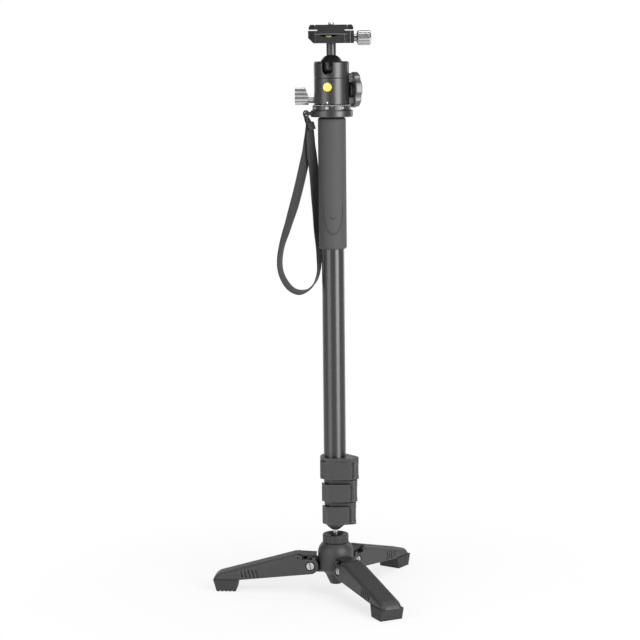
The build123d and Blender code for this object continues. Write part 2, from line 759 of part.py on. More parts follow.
# Flip locks: a split collar, a lever that wraps its front, a hinge pin and a tension bolt
for level, number in enumerate((3, 2, 1)):
    floor = lock_floor(level)
    body_radius = lock_body_radii[level]
    ring_radius = body_radius - lock_side_wall - free_gap
    inner_radius = tube_radii[level]
    outer_radius = tube_radii[level + 1]
    pin_x = lock_pin_places[level]
    pin_y = -lock_pin_share * body_radius
    front_y = -(body_radius + lever_front_step)
    inner_y = front_y + lever_thickness
    crease_x = lock_crease_places[level]
    seam_x = pin_x - lever_seam_step
    facet_y = pin_y
    tip_y = -lever_tip
    lug_end = pin_x + lock_lug_reach
    lock_lug_front = -pin_y - lever_barrel_radius - free_gap
    bolt_height = floor + (lever_barrel_floor + lever_barrel_top) / 2

    with BuildPart() as lock_collar:
        with BuildSketch(Plane.XY.offset(floor)):
            Circle(ring_radius)
        extrude(amount=lock_height)
        for ear_floor, ear_top in ((0, ear_height), (lever_barrel_top + free_gap, lock_height)):
            with BuildSketch(Plane.XY.offset(floor + ear_floor)):
                Circle(ring_radius)
                with Locations((pin_x, pin_y)):
                    Circle(knuckle_radius)
                make_hull()
            extrude(amount=ear_top - ear_floor)
        with BuildSketch(Plane.XY.offset(floor)):
            with Locations((lug_end / 2, (lock_lug_depth + lock_slit - lock_lug_front) / 2)):
                Rectangle(lug_end, lock_lug_depth + lock_slit + lock_lug_front)
        extrude(amount=lever_barrel_top)
        if number == 1:
            with BuildSketch(Plane.XY.offset(floor + lever_height + free_gap)):
                Circle(body_radius)
                with Locations((pin_x, pin_y)):
                    Circle(knuckle_radius)
                with Locations(
                    (crease_x, front_y + lock_flange_corner), (seam_x, front_y + lock_flange_corner)
                ):
                    Circle(lock_flange_corner)
                make_hull()
            extrude(amount=lock_height - lever_height - free_gap)
        chamfer(lock_collar.edges().group_by(Axis.Z)[-1], lock_edge)
        with BuildSketch(Plane.XY.offset(floor - overrun)):
            Circle(inner_radius + running_gap)
        extrude(amount=lock_seat_height + overrun, mode=Mode.SUBTRACT)
        with BuildSketch(Plane.XY.offset(floor + lock_seat_height - running_gap)):
            Circle(outer_radius + bond_gap)
        extrude(amount=lock_height, mode=Mode.SUBTRACT)
        with BuildSketch(Plane.XY.offset(floor - overrun)):
            with Locations(((lug_end + overrun) / 2, lock_slit / 2)):
                Rectangle(lug_end + overrun, lock_slit)
        extrude(amount=lever_barrel_top + overrun, mode=Mode.SUBTRACT)
        with BuildSketch(Plane.XY.offset(floor - overrun)):
            with Locations((pin_x, pin_y)):
                Circle(lock_pin_radius + bond_gap)
        extrude(amount=lock_height + 2 * overrun, mode=Mode.SUBTRACT)
        with BuildSketch(Plane.XZ):
            with Locations((pin_x, bolt_height)):
                Circle(lock_bolt_radius + running_gap)
        extrude(amount=-2 * lock_lug_depth, mode=Mode.SUBTRACT)
        with BuildSketch(Plane.XZ):
            with Locations((pin_x, bolt_height)):
                Circle(lock_bolt_radius + bond_gap)
        extrude(amount=lock_lug_front + overrun / 2, mode=Mode.SUBTRACT)
    save(lock_collar, f"lock_{number}_collar")

    with BuildPart() as scoop:
        with BuildSketch(Plane.XY.offset(floor)):
            with BuildLine():
                Polyline(
                    (crease_x, front_y),
                    (-body_radius, facet_y),
                    (-body_radius - overrun, facet_y),
                    (-body_radius - overrun, front_y - overrun),
                    (crease_x, front_y - overrun),
                    close=True,
                )
            make_face()
        extrude(amount=lever_height + overrun)
        with BuildSketch(Plane.XZ):
            with BuildLine():
                Polyline(
                    (crease_x, floor - overrun),
                    (crease_x, floor + lever_height - scoop_rise),
                    (crease_x - scoop_reach, floor + lever_height),
                    (crease_x - 2 * scoop_reach, floor + lever_height + scoop_rise),
                    (-2 * body_radius, floor + lever_height + scoop_rise),
                    (-2 * body_radius, floor - overrun),
                    close=True,
                )
            make_face()
        extrude(amount=2 * body_radius, mode=Mode.INTERSECT)

    with BuildPart() as lever:
        with BuildSketch(Plane.XY.offset(floor + lever_floor)):
            with BuildLine():
                Polyline(
                    (-body_radius, tip_y),
                    (-body_radius, facet_y),
                    (crease_x - scoop_reach, front_y + lever_thickness / 2),
                    (crease_x, front_y),
                )
                ThreePointArc(
                    (crease_x, front_y),
                    ((crease_x + seam_x) / 2, front_y - lever_crown),
                    (seam_x, front_y),
                )
                Polyline(
                    (seam_x, front_y),
                    (seam_x, inner_y),
                    (crease_x + lever_thickness / 2, inner_y),
                    (-ring_radius - free_gap, facet_y + lever_thickness / 2),
                    (-ring_radius - free_gap, tip_y),
                    (-body_radius, tip_y),
                )
            make_face()
        extrude(amount=lever_height - lever_floor)
        add(scoop.part, mode=Mode.SUBTRACT)
        with BuildSketch(Plane.XY.offset(floor + lever_barrel_floor)):
            with Locations((pin_x, pin_y)):
                Circle(lever_barrel_radius)
            with BuildLine():
                Polyline(
                    (seam_x - 2 * lever_thickness, inner_y - lever_thickness / 2),
                    (seam_x, inner_y - lever_thickness / 2),
                    (pin_x, pin_y),
                    (pin_x - lever_barrel_radius, pin_y),
                    close=True,
                )
            make_face()
        extrude(amount=lever_barrel_top - lever_barrel_floor)
        with BuildSketch(Plane.XY.offset(floor)):
            with Locations((pin_x, pin_y)):
                Circle(lock_pin_radius + running_gap)
        extrude(amount=lock_height, mode=Mode.SUBTRACT)
    save(lever, f"lock_{number}_lever")

    with BuildPart() as lock_pin:
        with BuildSketch(Plane.XY.offset(floor + lever_floor)):
            with Locations((pin_x, pin_y)):
                Circle(lock_pin_radius)
        extrude(amount=lock_height - 2 * lever_floor)
    save(lock_pin, f"lock_{number}_pin")

    with BuildPart() as lock_bolt:
        with BuildSketch(Plane.XZ.offset(-lock_slit - lock_lug_depth - bond_gap)):
            with Locations((pin_x, bolt_height)):
                Circle(lock_bolt_head_radius)
        extrude(amount=-lock_bolt_head_height)
        with BuildSketch(Plane.XZ.offset(-lock_slit - lock_lug_depth - bond_gap)):
            with Locations((pin_x, bolt_height)):
                Circle(lock_bolt_radius)
        extrude(amount=lock_slit + lock_lug_depth + lock_lug_front - free_gap)
        with BuildSketch(Plane.XZ.offset(-lock_slit - lock_lug_depth - lock_bolt_head_height)):
            with Locations((pin_x, bolt_height)):
                RegularPolygon(lock_bolt_radius, hex_sides)
        extrude(amount=lock_bolt_head_height / 2, mode=Mode.SUBTRACT)
    save(lock_bolt, f"lock_{number}_bolt")


def rounded_path(points):
    """Corner radii of a cord's route: as large as the runs beside each corner allow."""
    radii = []
    for before, corner, after in zip(points, points[1:], points[2:]):
        arriving = Vector(*corner) - Vector(*before)
        leaving = Vector(*after) - Vector(*corner)
        half_turn = radians(arriving.get_angle(leaving)) / 2
        radii.append(strap_bend_share * min(arriving.length, leaving.length) / tan(half_turn))
    return radii


# Grip, top plug, platform with its strap lug, and the stud that holds them to the pan base
plug_radius = tube_radii[3] - tube_wall - bond_gap
lug_centre = platform_floor + platform_height / 2
stud_floor = platform_floor - top_plug_height + free_gap

with BuildPart() as grip:
    with BuildSketch(Plane.XY.offset(grip_floor)):
        Circle(grip_radius)
    extrude(amount=grip_top - grip_floor)
    fillet(grip.edges(), grip_edge_radius)
    with BuildSketch(Plane.XY.offset(grip_floor - overrun)):
        Circle(tube_radii[3] + bond_gap)
    extrude(amount=grip_top - grip_floor + 2 * overrun, mode=Mode.SUBTRACT)
save(grip, "grip")

with BuildPart() as tube_top_plug:
    with BuildSketch(Plane.XY.offset(platform_floor - bond_gap)):
        Circle(plug_radius)
        Circle(platform_stud_radius + bond_gap, mode=Mode.SUBTRACT)
    extrude(amount=-top_plug_height)
save(tube_top_plug, "tube_top_plug")

with BuildPart() as platform:
    with BuildSketch(Plane.XY.offset(platform_floor)):
        Circle(platform_radius)
    extrude(amount=platform_height)
    chamfer(platform.edges(), platform_edge)
    with BuildSketch(Plane.XY.offset(lug_centre - lug_bar_radius)):
        with Locations((-lug_bar_place / 2, 0)):
            Rectangle(lug_bar_place, lug_width)
        with Locations((-lug_bar_place / 2 - platform_radius / 2, 0)):
            Rectangle(
                lug_bar_place - platform_radius + lug_root_depth,
                lug_width - 2 * lug_arm_width,
                mode=Mode.SUBTRACT,
            )
    extrude(amount=2 * lug_bar_radius)
    with Locations(Location((-lug_bar_place, 0, lug_centre), (90, 0, 0))):
        Cylinder(lug_bar_radius, lug_width)
    with BuildSketch(Plane.XY.offset(platform_floor - overrun)):
        Circle(platform_stud_radius + bond_gap)
    extrude(amount=platform_height + 2 * overrun, mode=Mode.SUBTRACT)
save(platform, "platform")

with BuildPart() as platform_stud:
    with BuildSketch(Plane.XY.offset(stud_floor)):
        Circle(platform_stud_radius)
    extrude(amount=platform_stud_height)
    chamfer(platform_stud.edges(), platform_edge)
save(platform_stud, "platform_stud")

with BuildPart() as pan_base:
    with BuildSketch(Plane.XZ):
        with BuildLine():
            Polyline(
                (0, platform_top + bond_gap),
                (pan_ring_radius, platform_top + bond_gap),
                (pan_ring_radius, pan_ring_top - pan_ring_bevel),
                (pan_ring_radius - pan_ring_bevel, pan_ring_top),
                (spindle_radius, pan_ring_top),
                (spindle_radius, pan_ring_top + spindle_height),
                (0, pan_ring_top + spindle_height),
                close=True,
            )
        make_face()
    revolve(axis=Axis.Z)
    with BuildSketch(Plane.XY.offset(platform_top - overrun)):
        Circle(platform_stud_radius + bond_gap)
    extrude(amount=stud_floor + platform_stud_height - platform_top + 2 * overrun, mode=Mode.SUBTRACT)
save(pan_base, "pan_base")

# Wrist strap: webbing folded over the lug's bar and sewn, and the loop that hangs from it
strap_run = strap_left_run + strap_bottom_run + strap_right_run + strap_top_run
strap_route = [(across, strap_anchor_floor - drop) for across, drop in strap_run]
strap_radii = rounded_path(strap_route)
anchor_wrap = lug_bar_radius + free_gap + strap_thickness / 2
anchor_left = -lug_bar_place - anchor_wrap
anchor_right = -lug_bar_place + anchor_wrap
anchor_top = lug_centre + anchor_wrap
anchor_pinch = (strap_anchor_floor + lug_centre) / 2 - strap_thickness
anchor_route = [
    (strap_route[0][0], strap_anchor_floor),
    (strap_route[0][0], anchor_pinch),
    (anchor_left, lug_centre - anchor_wrap),
    (anchor_left, anchor_top),
    (anchor_right, anchor_top),
    (anchor_right, lug_centre - anchor_wrap),
    (strap_route[-1][0], anchor_pinch),
    (strap_route[-1][0], strap_anchor_floor),
]
anchor_bend = 2 * strap_thickness
anchor_turn = anchor_wrap - bond_gap / 2
anchor_radii = [anchor_bend, anchor_bend, anchor_turn, anchor_turn, anchor_bend, anchor_bend]

with BuildPart() as strap_anchor:
    with BuildSketch(Plane.XZ):
        with BuildLine():
            FilletPolyline(anchor_route, radius=anchor_radii)
        trace(line_width=strap_thickness)
        with Locations(((strap_route[0][0] + strap_route[-1][0]) / 2, strap_anchor_floor)):
            Rectangle(
                strap_route[-1][0] - strap_route[0][0] + strap_thickness,
                anchor_pinch - strap_anchor_floor,
                align=(Align.CENTER, Align.MIN),
            )
    extrude(amount=strap_width / 2, both=True)
save(strap_anchor, "strap_anchor")

with BuildPart() as wrist_strap:
    with BuildSketch(Plane.XZ):
        with BuildLine() as strap_line:
            FilletPolyline(strap_route, radius=strap_radii)
        trace(line_width=strap_thickness)
    extrude(amount=strap_width / 2, both=True)
save(wrist_strap, "wrist_strap")
strap_length = sum(edge.length for edge in strap_line.edges())
strap_section = strap_width * strap_thickness
print("strap radii", [round(radius, 1) for radius in strap_radii])
print("strap length", round(strap_length, 1), "volume", round(wrist_strap.part.volume, 1))
print("section times length", round(strap_section * strap_length, 1))

# Housing of the ball head
cavity_radius = ball_radius + ball_gap
drop_centre = drop_floor_height + drop_width / 2

with BuildPart() as head_housing:
    with BuildSketch(Plane.XZ):
        with BuildLine():
            Polyline(
                (0, housing_floor),
                (housing_radius - housing_groove_depth, housing_floor),
                (housing_radius, housing_floor + housing_groove_depth),
                (housing_radius, housing_groove_height - housing_groove_width / 2),
                (housing_radius - housing_groove_depth, housing_groove_height),
                (housing_radius, housing_groove_height + housing_groove_width / 2),
                (housing_radius, housing_top_height - housing_chamfer),
                (housing_radius - housing_chamfer, housing_top_height),
                (0, housing_top_height),
                close=True,
            )
        make_face()
    revolve(axis=Axis.Z)
    with Locations((0, 0, ball_height)):
        Sphere(cavity_radius, mode=Mode.SUBTRACT)
    with BuildSketch(Plane.XY.offset(cup_floor_height)):
        Circle(cavity_radius)
    extrude(amount=ball_height - cup_floor_height, mode=Mode.SUBTRACT)
    with BuildSketch(Plane.XY.offset(housing_floor - overrun)):
        Circle(spindle_radius + running_gap)
    extrude(amount=spindle_height + overrun, mode=Mode.SUBTRACT)
    with BuildSketch(facing(drop_azimuth, 0, drop_centre)):
        Circle(drop_width / 2)
        with Locations((0, drop_width)):
            Rectangle(drop_width, 2 * drop_width)
    extrude(amount=2 * housing_radius, mode=Mode.SUBTRACT)
    with BuildSketch(facing(main_knob_azimuth, 0, main_knob_height)):
        Circle(main_screw_radius + running_gap)
    extrude(amount=2 * housing_radius, mode=Mode.SUBTRACT)
    with BuildSketch(facing(pan_knob_azimuth, 0, pan_knob_height)):
        Circle(pan_screw_radius + running_gap)
    extrude(amount=2 * housing_radius, mode=Mode.SUBTRACT)
    with BuildSketch(facing(drop_azimuth, housing_radius - trim_seat_step, trim_height)):
        Circle(trim_radius + bond_gap)
    extrude(amount=housing_radius, mode=Mode.SUBTRACT)
save(head_housing, "head_housing")

with BuildPart() as ball_cup:
    with BuildSketch(Plane.XY.offset(cup_floor_height + bond_gap)):
        Circle(cavity_radius - bond_gap)
    extrude(amount=cup_height)
    with Locations((0, 0, ball_height)):
        Sphere(ball_radius + running_gap, mode=Mode.SUBTRACT)
save(ball_cup, "ball_cup")

with BuildPart() as trim_disc:
    with BuildSketch(facing(drop_azimuth, housing_radius - trim_seat_step + bond_gap, trim_height)):
        Circle(trim_radius)
    extrude(amount=trim_thickness)
    chamfer(trim_disc.edges(), trim_thickness / 4)
save(trim_disc, "trim_disc")

# Ball lock knob: six shallow lobes, a boss towards the housing and its screw
knob_boss_start = housing_radius + free_gap

with BuildPart() as ball_lock_knob:
    with BuildSketch(facing(main_knob_azimuth, main_knob_start, main_knob_height)):
        Circle(main_knob_radius)
        scallop_place = main_knob_radius + main_knob_scallop_radius - main_knob_scallop_depth
        with PolarLocations(scallop_place, main_knob_lobes, start_angle=main_knob_turn):
            Circle(main_knob_scallop_radius, mode=Mode.SUBTRACT)
    extrude(amount=main_knob_thickness)
    fillet(ball_lock_knob.edges(), main_knob_edge)
    with BuildSketch(facing(main_knob_azimuth, knob_boss_start, main_knob_height)):
        Circle(main_knob_boss_radius)
    extrude(amount=main_knob_start - knob_boss_start + overrun)
    with BuildSketch(facing(main_knob_azimuth, main_screw_start, main_knob_height)):
        Circle(main_screw_radius)
    extrude(amount=main_knob_start - main_screw_start)
save(ball_lock_knob, "ball_lock_knob")

# Pan lock knob: a single wing that leans back towards the housing
pan_turn = radians(pan_knob_azimuth)
pan_side = Plane(
    origin=(0, 0, pan_knob_height),
    x_dir=(cos(pan_turn), sin(pan_turn), 0),
    z_dir=(sin(pan_turn), -cos(pan_turn), 0),
)

with BuildPart() as pan_lock_knob:
    with BuildSketch(facing(pan_knob_azimuth, pan_knob_start, pan_knob_height)):
        Circle(pan_knob_hub_radius)
        with Locations((0, pan_knob_wing_height - pan_knob_wing_radius)):
            Circle(pan_knob_wing_radius)
        make_hull()
    extrude(amount=pan_knob_end - pan_knob_start)
    with BuildSketch(pan_side):
        with BuildLine():
            Polyline(
                (pan_knob_start - overrun, pan_knob_hub_radius / 2),
                (pan_knob_start, pan_knob_hub_radius / 2),
                (pan_knob_start + pan_knob_slant, pan_knob_wing_height),
                (pan_knob_start + pan_knob_slant, pan_knob_wing_height + overrun),
                (pan_knob_start - overrun, pan_knob_wing_height + overrun),
                close=True,
            )
        make_face()
    extrude(amount=pan_knob_hub_radius + overrun, both=True, mode=Mode.SUBTRACT)
    with BuildSketch(facing(pan_knob_azimuth, knob_boss_start, pan_knob_height)):
        Circle(pan_neck_radius)
    extrude(amount=pan_knob_start - knob_boss_start + overrun)
    with BuildSketch(facing(pan_knob_azimuth, spindle_radius + free_gap, pan_knob_height)):
        Circle(pan_screw_radius)
    extrude(amount=pan_knob_start - spindle_radius)
save(pan_lock_knob, "pan_lock_knob")

# Ball and stem
stem_bore_depth = clamp_bolt_length - clamp_bolt_seat + free_gap

with BuildPart() as head_ball:
    with Locations((0, 0, ball_height)):
        Sphere(ball_radius)
save(head_ball, "head_ball")

with BuildPart() as ball_stem:
    with BuildSketch(Plane.XY.offset(ball_height)):
        Circle(stem_radius)
    extrude(amount=clamp_floor_height - running_gap - ball_height)
    with BuildSketch(Plane.XY.offset(clamp_floor_height - overrun)):
        Circle(stem_spigot_radius)
    extrude(amount=stem_spigot_height + overrun)
    with BuildSketch(Plane.XY.offset(clamp_floor_height - stem_bore_depth)):
        Circle(clamp_bolt_radius + running_gap)
    extrude(amount=2 * stem_bore_depth, mode=Mode.SUBTRACT)
    with Locations((0, 0, ball_height)):
        Sphere(ball_radius + ball_gap, mode=Mode.SUBTRACT)
save(ball_stem, "ball_stem")

# Clamp: a fixed half with one dovetail lip, and a jaw with the other
lip_start = dovetail_width / 2 + dovetail_gap
lip_end = lip_start - dovetail_rise
clamp_axis = clamp_floor_height + clamp_axis_rise
scoop_centre = deck - deck_scoop_depth + deck_scoop_radius
half_depth = clamp_depth / 2
clamp_corners = [
    (-clamp_left, half_depth - clamp_corner),
    (-clamp_left + clamp_corner, half_depth),
    (clamp_right - clamp_corner / 2, half_depth),
    (clamp_right, half_depth - clamp_corner / 2),
    (clamp_right, -half_depth + clamp_corner / 2),
    (clamp_right - clamp_corner / 2, -half_depth),
    (-clamp_left + clamp_corner, -half_depth),
    (-clamp_left, -half_depth + clamp_corner),
]

with BuildPart() as clamp_body:
    with BuildSketch(Plane.XZ):
        with BuildLine():
            Polyline(
                (-clamp_left + clamp_under_cut, clamp_floor_height),
                (clamp_split, clamp_floor_height),
                (clamp_split, deck),
                (-lip_start, deck),
                (-lip_end, deck + dovetail_rise),
                (-lip_end, clamp_top),
                (-clamp_left, clamp_top),
                (-clamp_left, clamp_floor_height + clamp_under_cut),
                close=True,
            )
        make_face()
    extrude(amount=half_depth, both=True)
    with BuildSketch(Plane.XY.offset(clamp_floor_height)):
        with BuildLine():
            Polyline(*clamp_corners, close=True)
        make_face()
    extrude(amount=clamp_height, mode=Mode.INTERSECT)
    with BuildSketch(Plane.XZ):
        with Locations((-deck_scoop_shift, scoop_centre)):
            Circle(deck_scoop_radius)
        with Locations((0, deck - 2 * deck_scoop_radius)):
            Rectangle(
                4 * deck_scoop_radius, 4 * deck_scoop_radius, mode=Mode.INTERSECT
            )
    extrude(amount=half_depth + overrun, both=True, mode=Mode.SUBTRACT)
    with BuildSketch(Plane.XY.offset(clamp_floor_height - overrun)):
        Circle(stem_spigot_radius + running_gap)
    extrude(amount=stem_spigot_height + running_gap + overrun, mode=Mode.SUBTRACT)
    with BuildSketch(Plane.XY.offset(clamp_floor_height + clamp_bolt_seat)):
        Circle(clamp_bolt_head_radius + bond_gap)
    extrude(amount=clamp_height, mode=Mode.SUBTRACT)
    with BuildSketch(Plane.XY.offset(clamp_floor_height)):
        Circle(clamp_bolt_radius + bond_gap)
    extrude(amount=clamp_height, mode=Mode.SUBTRACT)
    with BuildSketch(Plane.XY.offset(deck - deck_scoop_depth - level_seat)):
        with Locations((-deck_scoop_shift, -level_place)):
            Circle(level_radius + bond_gap)
    extrude(amount=clamp_height, mode=Mode.SUBTRACT)
    with BuildSketch(Plane.YZ.offset(clamp_split)):
        with Locations((-guide_pin_place, clamp_axis), (guide_pin_place, clamp_axis)):
            Circle(guide_pin_radius + bond_gap)
    extrude(amount=-guide_pin_depth, mode=Mode.SUBTRACT)
    with BuildSketch(Plane.YZ.offset(clamp_split)):
        with Locations((0, clamp_axis)):
            Circle(clamp_screw_radius + running_gap)
    extrude(amount=-clamp_screw_depth - free_gap, mode=Mode.SUBTRACT)
save(clamp_body, "clamp_body")

with BuildPart() as clamp_bolt:
    with BuildSketch(Plane.XY.offset(clamp_floor_height + clamp_bolt_seat)):
        Circle(clamp_bolt_head_radius)
    extrude(amount=clamp_bolt_head_height)
    with BuildSketch(Plane.XY.offset(clamp_floor_height + clamp_bolt_seat)):
        Circle(clamp_bolt_radius)
    extrude(amount=-clamp_bolt_length)
    with BuildSketch(Plane.XY.offset(clamp_floor_height + clamp_bolt_seat + clamp_bolt_head_height)):
        RegularPolygon(clamp_bolt_radius, hex_sides)
    extrude(amount=-clamp_bolt_head_height / 2, mode=Mode.SUBTRACT)
save(clamp_bolt, "clamp_bolt")

with BuildPart() as bubble_level:
    with BuildSketch(Plane.XY.offset(deck - deck_scoop_depth - level_seat)):
        with Locations((-deck_scoop_shift, -level_place)):
            Circle(level_radius)
    extrude(amount=level_height)
    fillet(bubble_level.edges().group_by(Axis.Z)[-1], level_height / 4)
save(bubble_level, "bubble_level")

with BuildPart() as clamp_guide_pins:
    with BuildSketch(Plane.YZ.offset(clamp_split - guide_pin_depth + bond_gap)):
        with Locations((-guide_pin_place, clamp_axis), (guide_pin_place, clamp_axis)):
            Circle(guide_pin_radius)
    extrude(amount=2 * guide_pin_depth)
save(clamp_guide_pins, "clamp_guide_pins")

with BuildPart() as clamp_jaw:
    jaw_start = clamp_split + jaw_gap
    with BuildSketch(Plane.XZ):
        with BuildLine():
            Polyline(
                (jaw_start, clamp_floor_height),
                (clamp_right, clamp_floor_height),
                (clamp_right, clamp_top),
                (lip_end, clamp_top),
                (lip_end, deck + dovetail_rise),
                (lip_start, deck),
                (jaw_start, deck),
                close=True,
            )
        make_face()
    extrude(amount=half_depth, both=True)
    with BuildSketch(Plane.XY.offset(clamp_floor_height)):
        with BuildLine():
            Polyline(*clamp_corners, close=True)
        make_face()
    extrude(amount=clamp_height, mode=Mode.INTERSECT)
    with BuildSketch(Plane.YZ.offset(clamp_split - overrun)):
        with Locations((-guide_pin_place, clamp_axis), (guide_pin_place, clamp_axis)):
            Circle(guide_pin_radius + running_gap)
    extrude(amount=guide_pin_depth + 2 * overrun, mode=Mode.SUBTRACT)
    with BuildSketch(Plane.YZ.offset(clamp_split - overrun)):
        with Locations((0, clamp_axis)):
            Circle(clamp_screw_radius + running_gap)
    extrude(amount=clamp_left, mode=Mode.SUBTRACT)
save(clamp_jaw, "clamp_jaw")

# Clamp knob: a fluted barrel on its neck, with the screw that pulls the jaw in
neck_start = clamp_right + free_gap
knob_start = neck_start + clamp_neck_length

with BuildPart() as clamp_knob:
    with BuildSketch(Plane.YZ.offset(knob_start)):
        with Locations((0, clamp_axis)):
            Circle(clamp_knob_radius)
    extrude(amount=clamp_knob_length)
    chamfer(clamp_knob.edges(), clamp_knob_edge)
    with BuildSketch(Plane.YZ.offset(knob_start - overrun)):
        with Locations((0, clamp_axis)):
            with PolarLocations(clamp_knob_radius, clamp_knob_flutes):
                Circle(clamp_knob_flute_radius)
    extrude(amount=clamp_knob_length + 2 * overrun, mode=Mode.SUBTRACT)
    with BuildSketch(Plane.YZ.offset(neck_start)):
        with Locations((0, clamp_axis)):
            Circle(clamp_neck_radius)
    extrude(amount=clamp_neck_length + overrun)
    with BuildSketch(Plane.YZ.offset(clamp_split - clamp_screw_depth)):
        with Locations((0, clamp_axis)):
            Circle(clamp_screw_radius)
    extrude(amount=knob_start - clamp_split + clamp_screw_depth)
save(clamp_knob, "clamp_knob")

# Quick-release plate and its camera screw
tail_half = dovetail_width / 2
neck_half = tail_half - dovetail_rise
plate_half = plate_width / 2
plate_far = plate_depth / 2
screw_head_floor = tail_floor + free_gap
screw_head_top = screw_head_floor + camera_screw_head_height

with BuildPart() as qr_plate:
    with BuildSketch(Plane.XZ):
        with BuildLine():
            Polyline(
                (0, tail_floor),
                (tail_half, tail_floor),
                (neck_half, tail_top),
                (neck_half, plate_floor),
                (plate_half, plate_floor),
                (plate_half, plate_top_height - 2 * plate_edge),
                (plate_half - plate_edge, plate_top_height),
                (0, plate_top_height),
            )
            mirror(about=Plane.YZ)
        make_face()
    extrude(amount=plate_far, both=True)
    with BuildSketch(Plane.XY.offset(tail_floor)):
        with BuildLine():
            Polyline(
                (-plate_half, plate_far - plate_corner),
                (-plate_half + plate_corner, plate_far),
                (plate_half - plate_corner, plate_far),
                (plate_half, plate_far - plate_corner),
                (plate_half, -plate_far + plate_corner),
                (plate_half - plate_corner, -plate_far),
                (-plate_half + plate_corner, -plate_far),
                (-plate_half, -plate_far + plate_corner),
                close=True,
            )
        make_face()
    extrude(amount=plate_top_height - tail_floor, mode=Mode.INTERSECT)
    with BuildSketch(Plane.XY.offset(plate_top_height - plate_groove_depth)):
        with Locations((-plate_groove_place, 0), (plate_groove_place, 0)):
            Rectangle(plate_groove_width, 2 * plate_depth)
    extrude(amount=plate_groove_depth + overrun, mode=Mode.SUBTRACT)
    with BuildSketch(Plane.XY.offset(tail_floor - overrun)):
        Circle(camera_screw_head_radius + running_gap)
    extrude(amount=screw_head_top + running_gap - tail_floor + overrun, mode=Mode.SUBTRACT)
    with BuildSketch(Plane.XY.offset(tail_floor)):
        Circle(camera_screw_radius + running_gap)
    extrude(amount=plate_top_height, mode=Mode.SUBTRACT)
save(qr_plate, "qr_plate")

with BuildPart() as camera_screw:
    with BuildSketch(Plane.XY.offset(screw_head_floor)):
        Circle(camera_screw_head_radius)
    extrude(amount=camera_screw_head_height)
    with BuildSketch(Plane.XY.offset(screw_head_floor)):
        Circle(camera_screw_neck_radius)
    extrude(amount=plate_top_height + camera_screw_relief - screw_head_floor)
    with BuildSketch(Plane.XY.offset(plate_top_height + camera_screw_relief)):
        Circle(camera_screw_radius)
    extrude(amount=camera_screw_rise - camera_screw_relief)
    chamfer(camera_screw.edges().group_by(Axis.Z)[-1], camera_screw_tip)
    with BuildSketch(Plane.XY.offset(screw_head_floor)):
        Rectangle(2 * camera_screw_head_radius, plate_groove_width)
    extrude(amount=camera_screw_head_height / 2, mode=Mode.SUBTRACT)
save(camera_screw, "camera_screw")
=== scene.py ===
import math

import bpy
from mathutils import Euler, Matrix, Vector


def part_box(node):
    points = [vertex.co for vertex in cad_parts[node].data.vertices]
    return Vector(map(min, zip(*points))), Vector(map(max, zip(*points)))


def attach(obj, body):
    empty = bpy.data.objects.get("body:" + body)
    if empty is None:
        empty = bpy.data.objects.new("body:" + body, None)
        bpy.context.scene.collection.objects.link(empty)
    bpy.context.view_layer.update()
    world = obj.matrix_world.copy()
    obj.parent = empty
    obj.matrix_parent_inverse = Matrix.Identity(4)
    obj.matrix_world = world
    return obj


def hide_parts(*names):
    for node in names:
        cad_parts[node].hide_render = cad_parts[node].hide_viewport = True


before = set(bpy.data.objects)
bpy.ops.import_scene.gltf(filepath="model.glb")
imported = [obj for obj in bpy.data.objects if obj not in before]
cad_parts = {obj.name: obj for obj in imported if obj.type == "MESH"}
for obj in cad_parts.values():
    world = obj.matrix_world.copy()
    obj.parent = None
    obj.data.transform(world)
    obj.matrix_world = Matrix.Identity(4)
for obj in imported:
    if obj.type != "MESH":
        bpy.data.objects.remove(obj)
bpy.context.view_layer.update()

bl_info = {
    "name": "Camera monopod",
    "version": (1, 0, 0),
    "blender": (4, 5, 0),
    "location": "View3D > Sidebar > Monopod",
    "description": "Finishes, strap and printed marks of a camera monopod with a ball head",
    "category": "Add Mesh",
}

MM = 0.001

# Which way the trim disc on the housing faces, as in the part's source
HOUSING_FRONT = (-0.241922, -0.970296, 0)

# The sockets of a Mix node that mixes colours
FACTOR, UNDER, OVER, MIXED = 0, 6, 7, 2
WAVE_RADIANS = 20  # what a wave texture turns through in one unit of its scale


# Colour and node helpers
def linear(code):
    """An sRGB hex code as linear red, green and blue."""
    parts = [int(code[i : i + 2], 16) / 255 for i in (1, 3, 5)]
    return tuple(p / 12.92 if p <= 0.04045 else ((p + 0.055) / 1.055) ** 2.4 for p in parts)


def add_node(material, kind, inputs=None, **settings):
    """Add a shader node, with its settings and with values or links for its sockets."""
    tree = material.node_tree
    made = tree.nodes.new("ShaderNode" + kind)
    for name, value in settings.items():
        setattr(made, name, value)
    for name, value in (inputs or {}).items():
        if isinstance(value, bpy.types.NodeSocket):
            tree.links.new(value, made.inputs[name])
        else:
            made.inputs[name].default_value = value
    return made


def rgba(colour, scale=1.0):
    """A colour as four numbers, made lighter or darker by a scale."""
    return (*(min(1.0, part * scale) for part in colour), 1.0)


def surface(name, colour, metallic, roughness, others=None):
    """Start a material with its shader and output, and find the place that patterns use."""
    material = bpy.data.materials.new(name)
    material.use_nodes = True
    material.node_tree.nodes.clear()
    values = {"Base Color": rgba(colour), "Metallic": metallic, "Roughness": roughness}
    shader = add_node(material, "BsdfPrincipled", {**values, **(others or {})})
    add_node(material, "OutputMaterial", {"Surface": shader.outputs[0]})
    return material, add_node(material, "TexCoord").outputs["Object"]


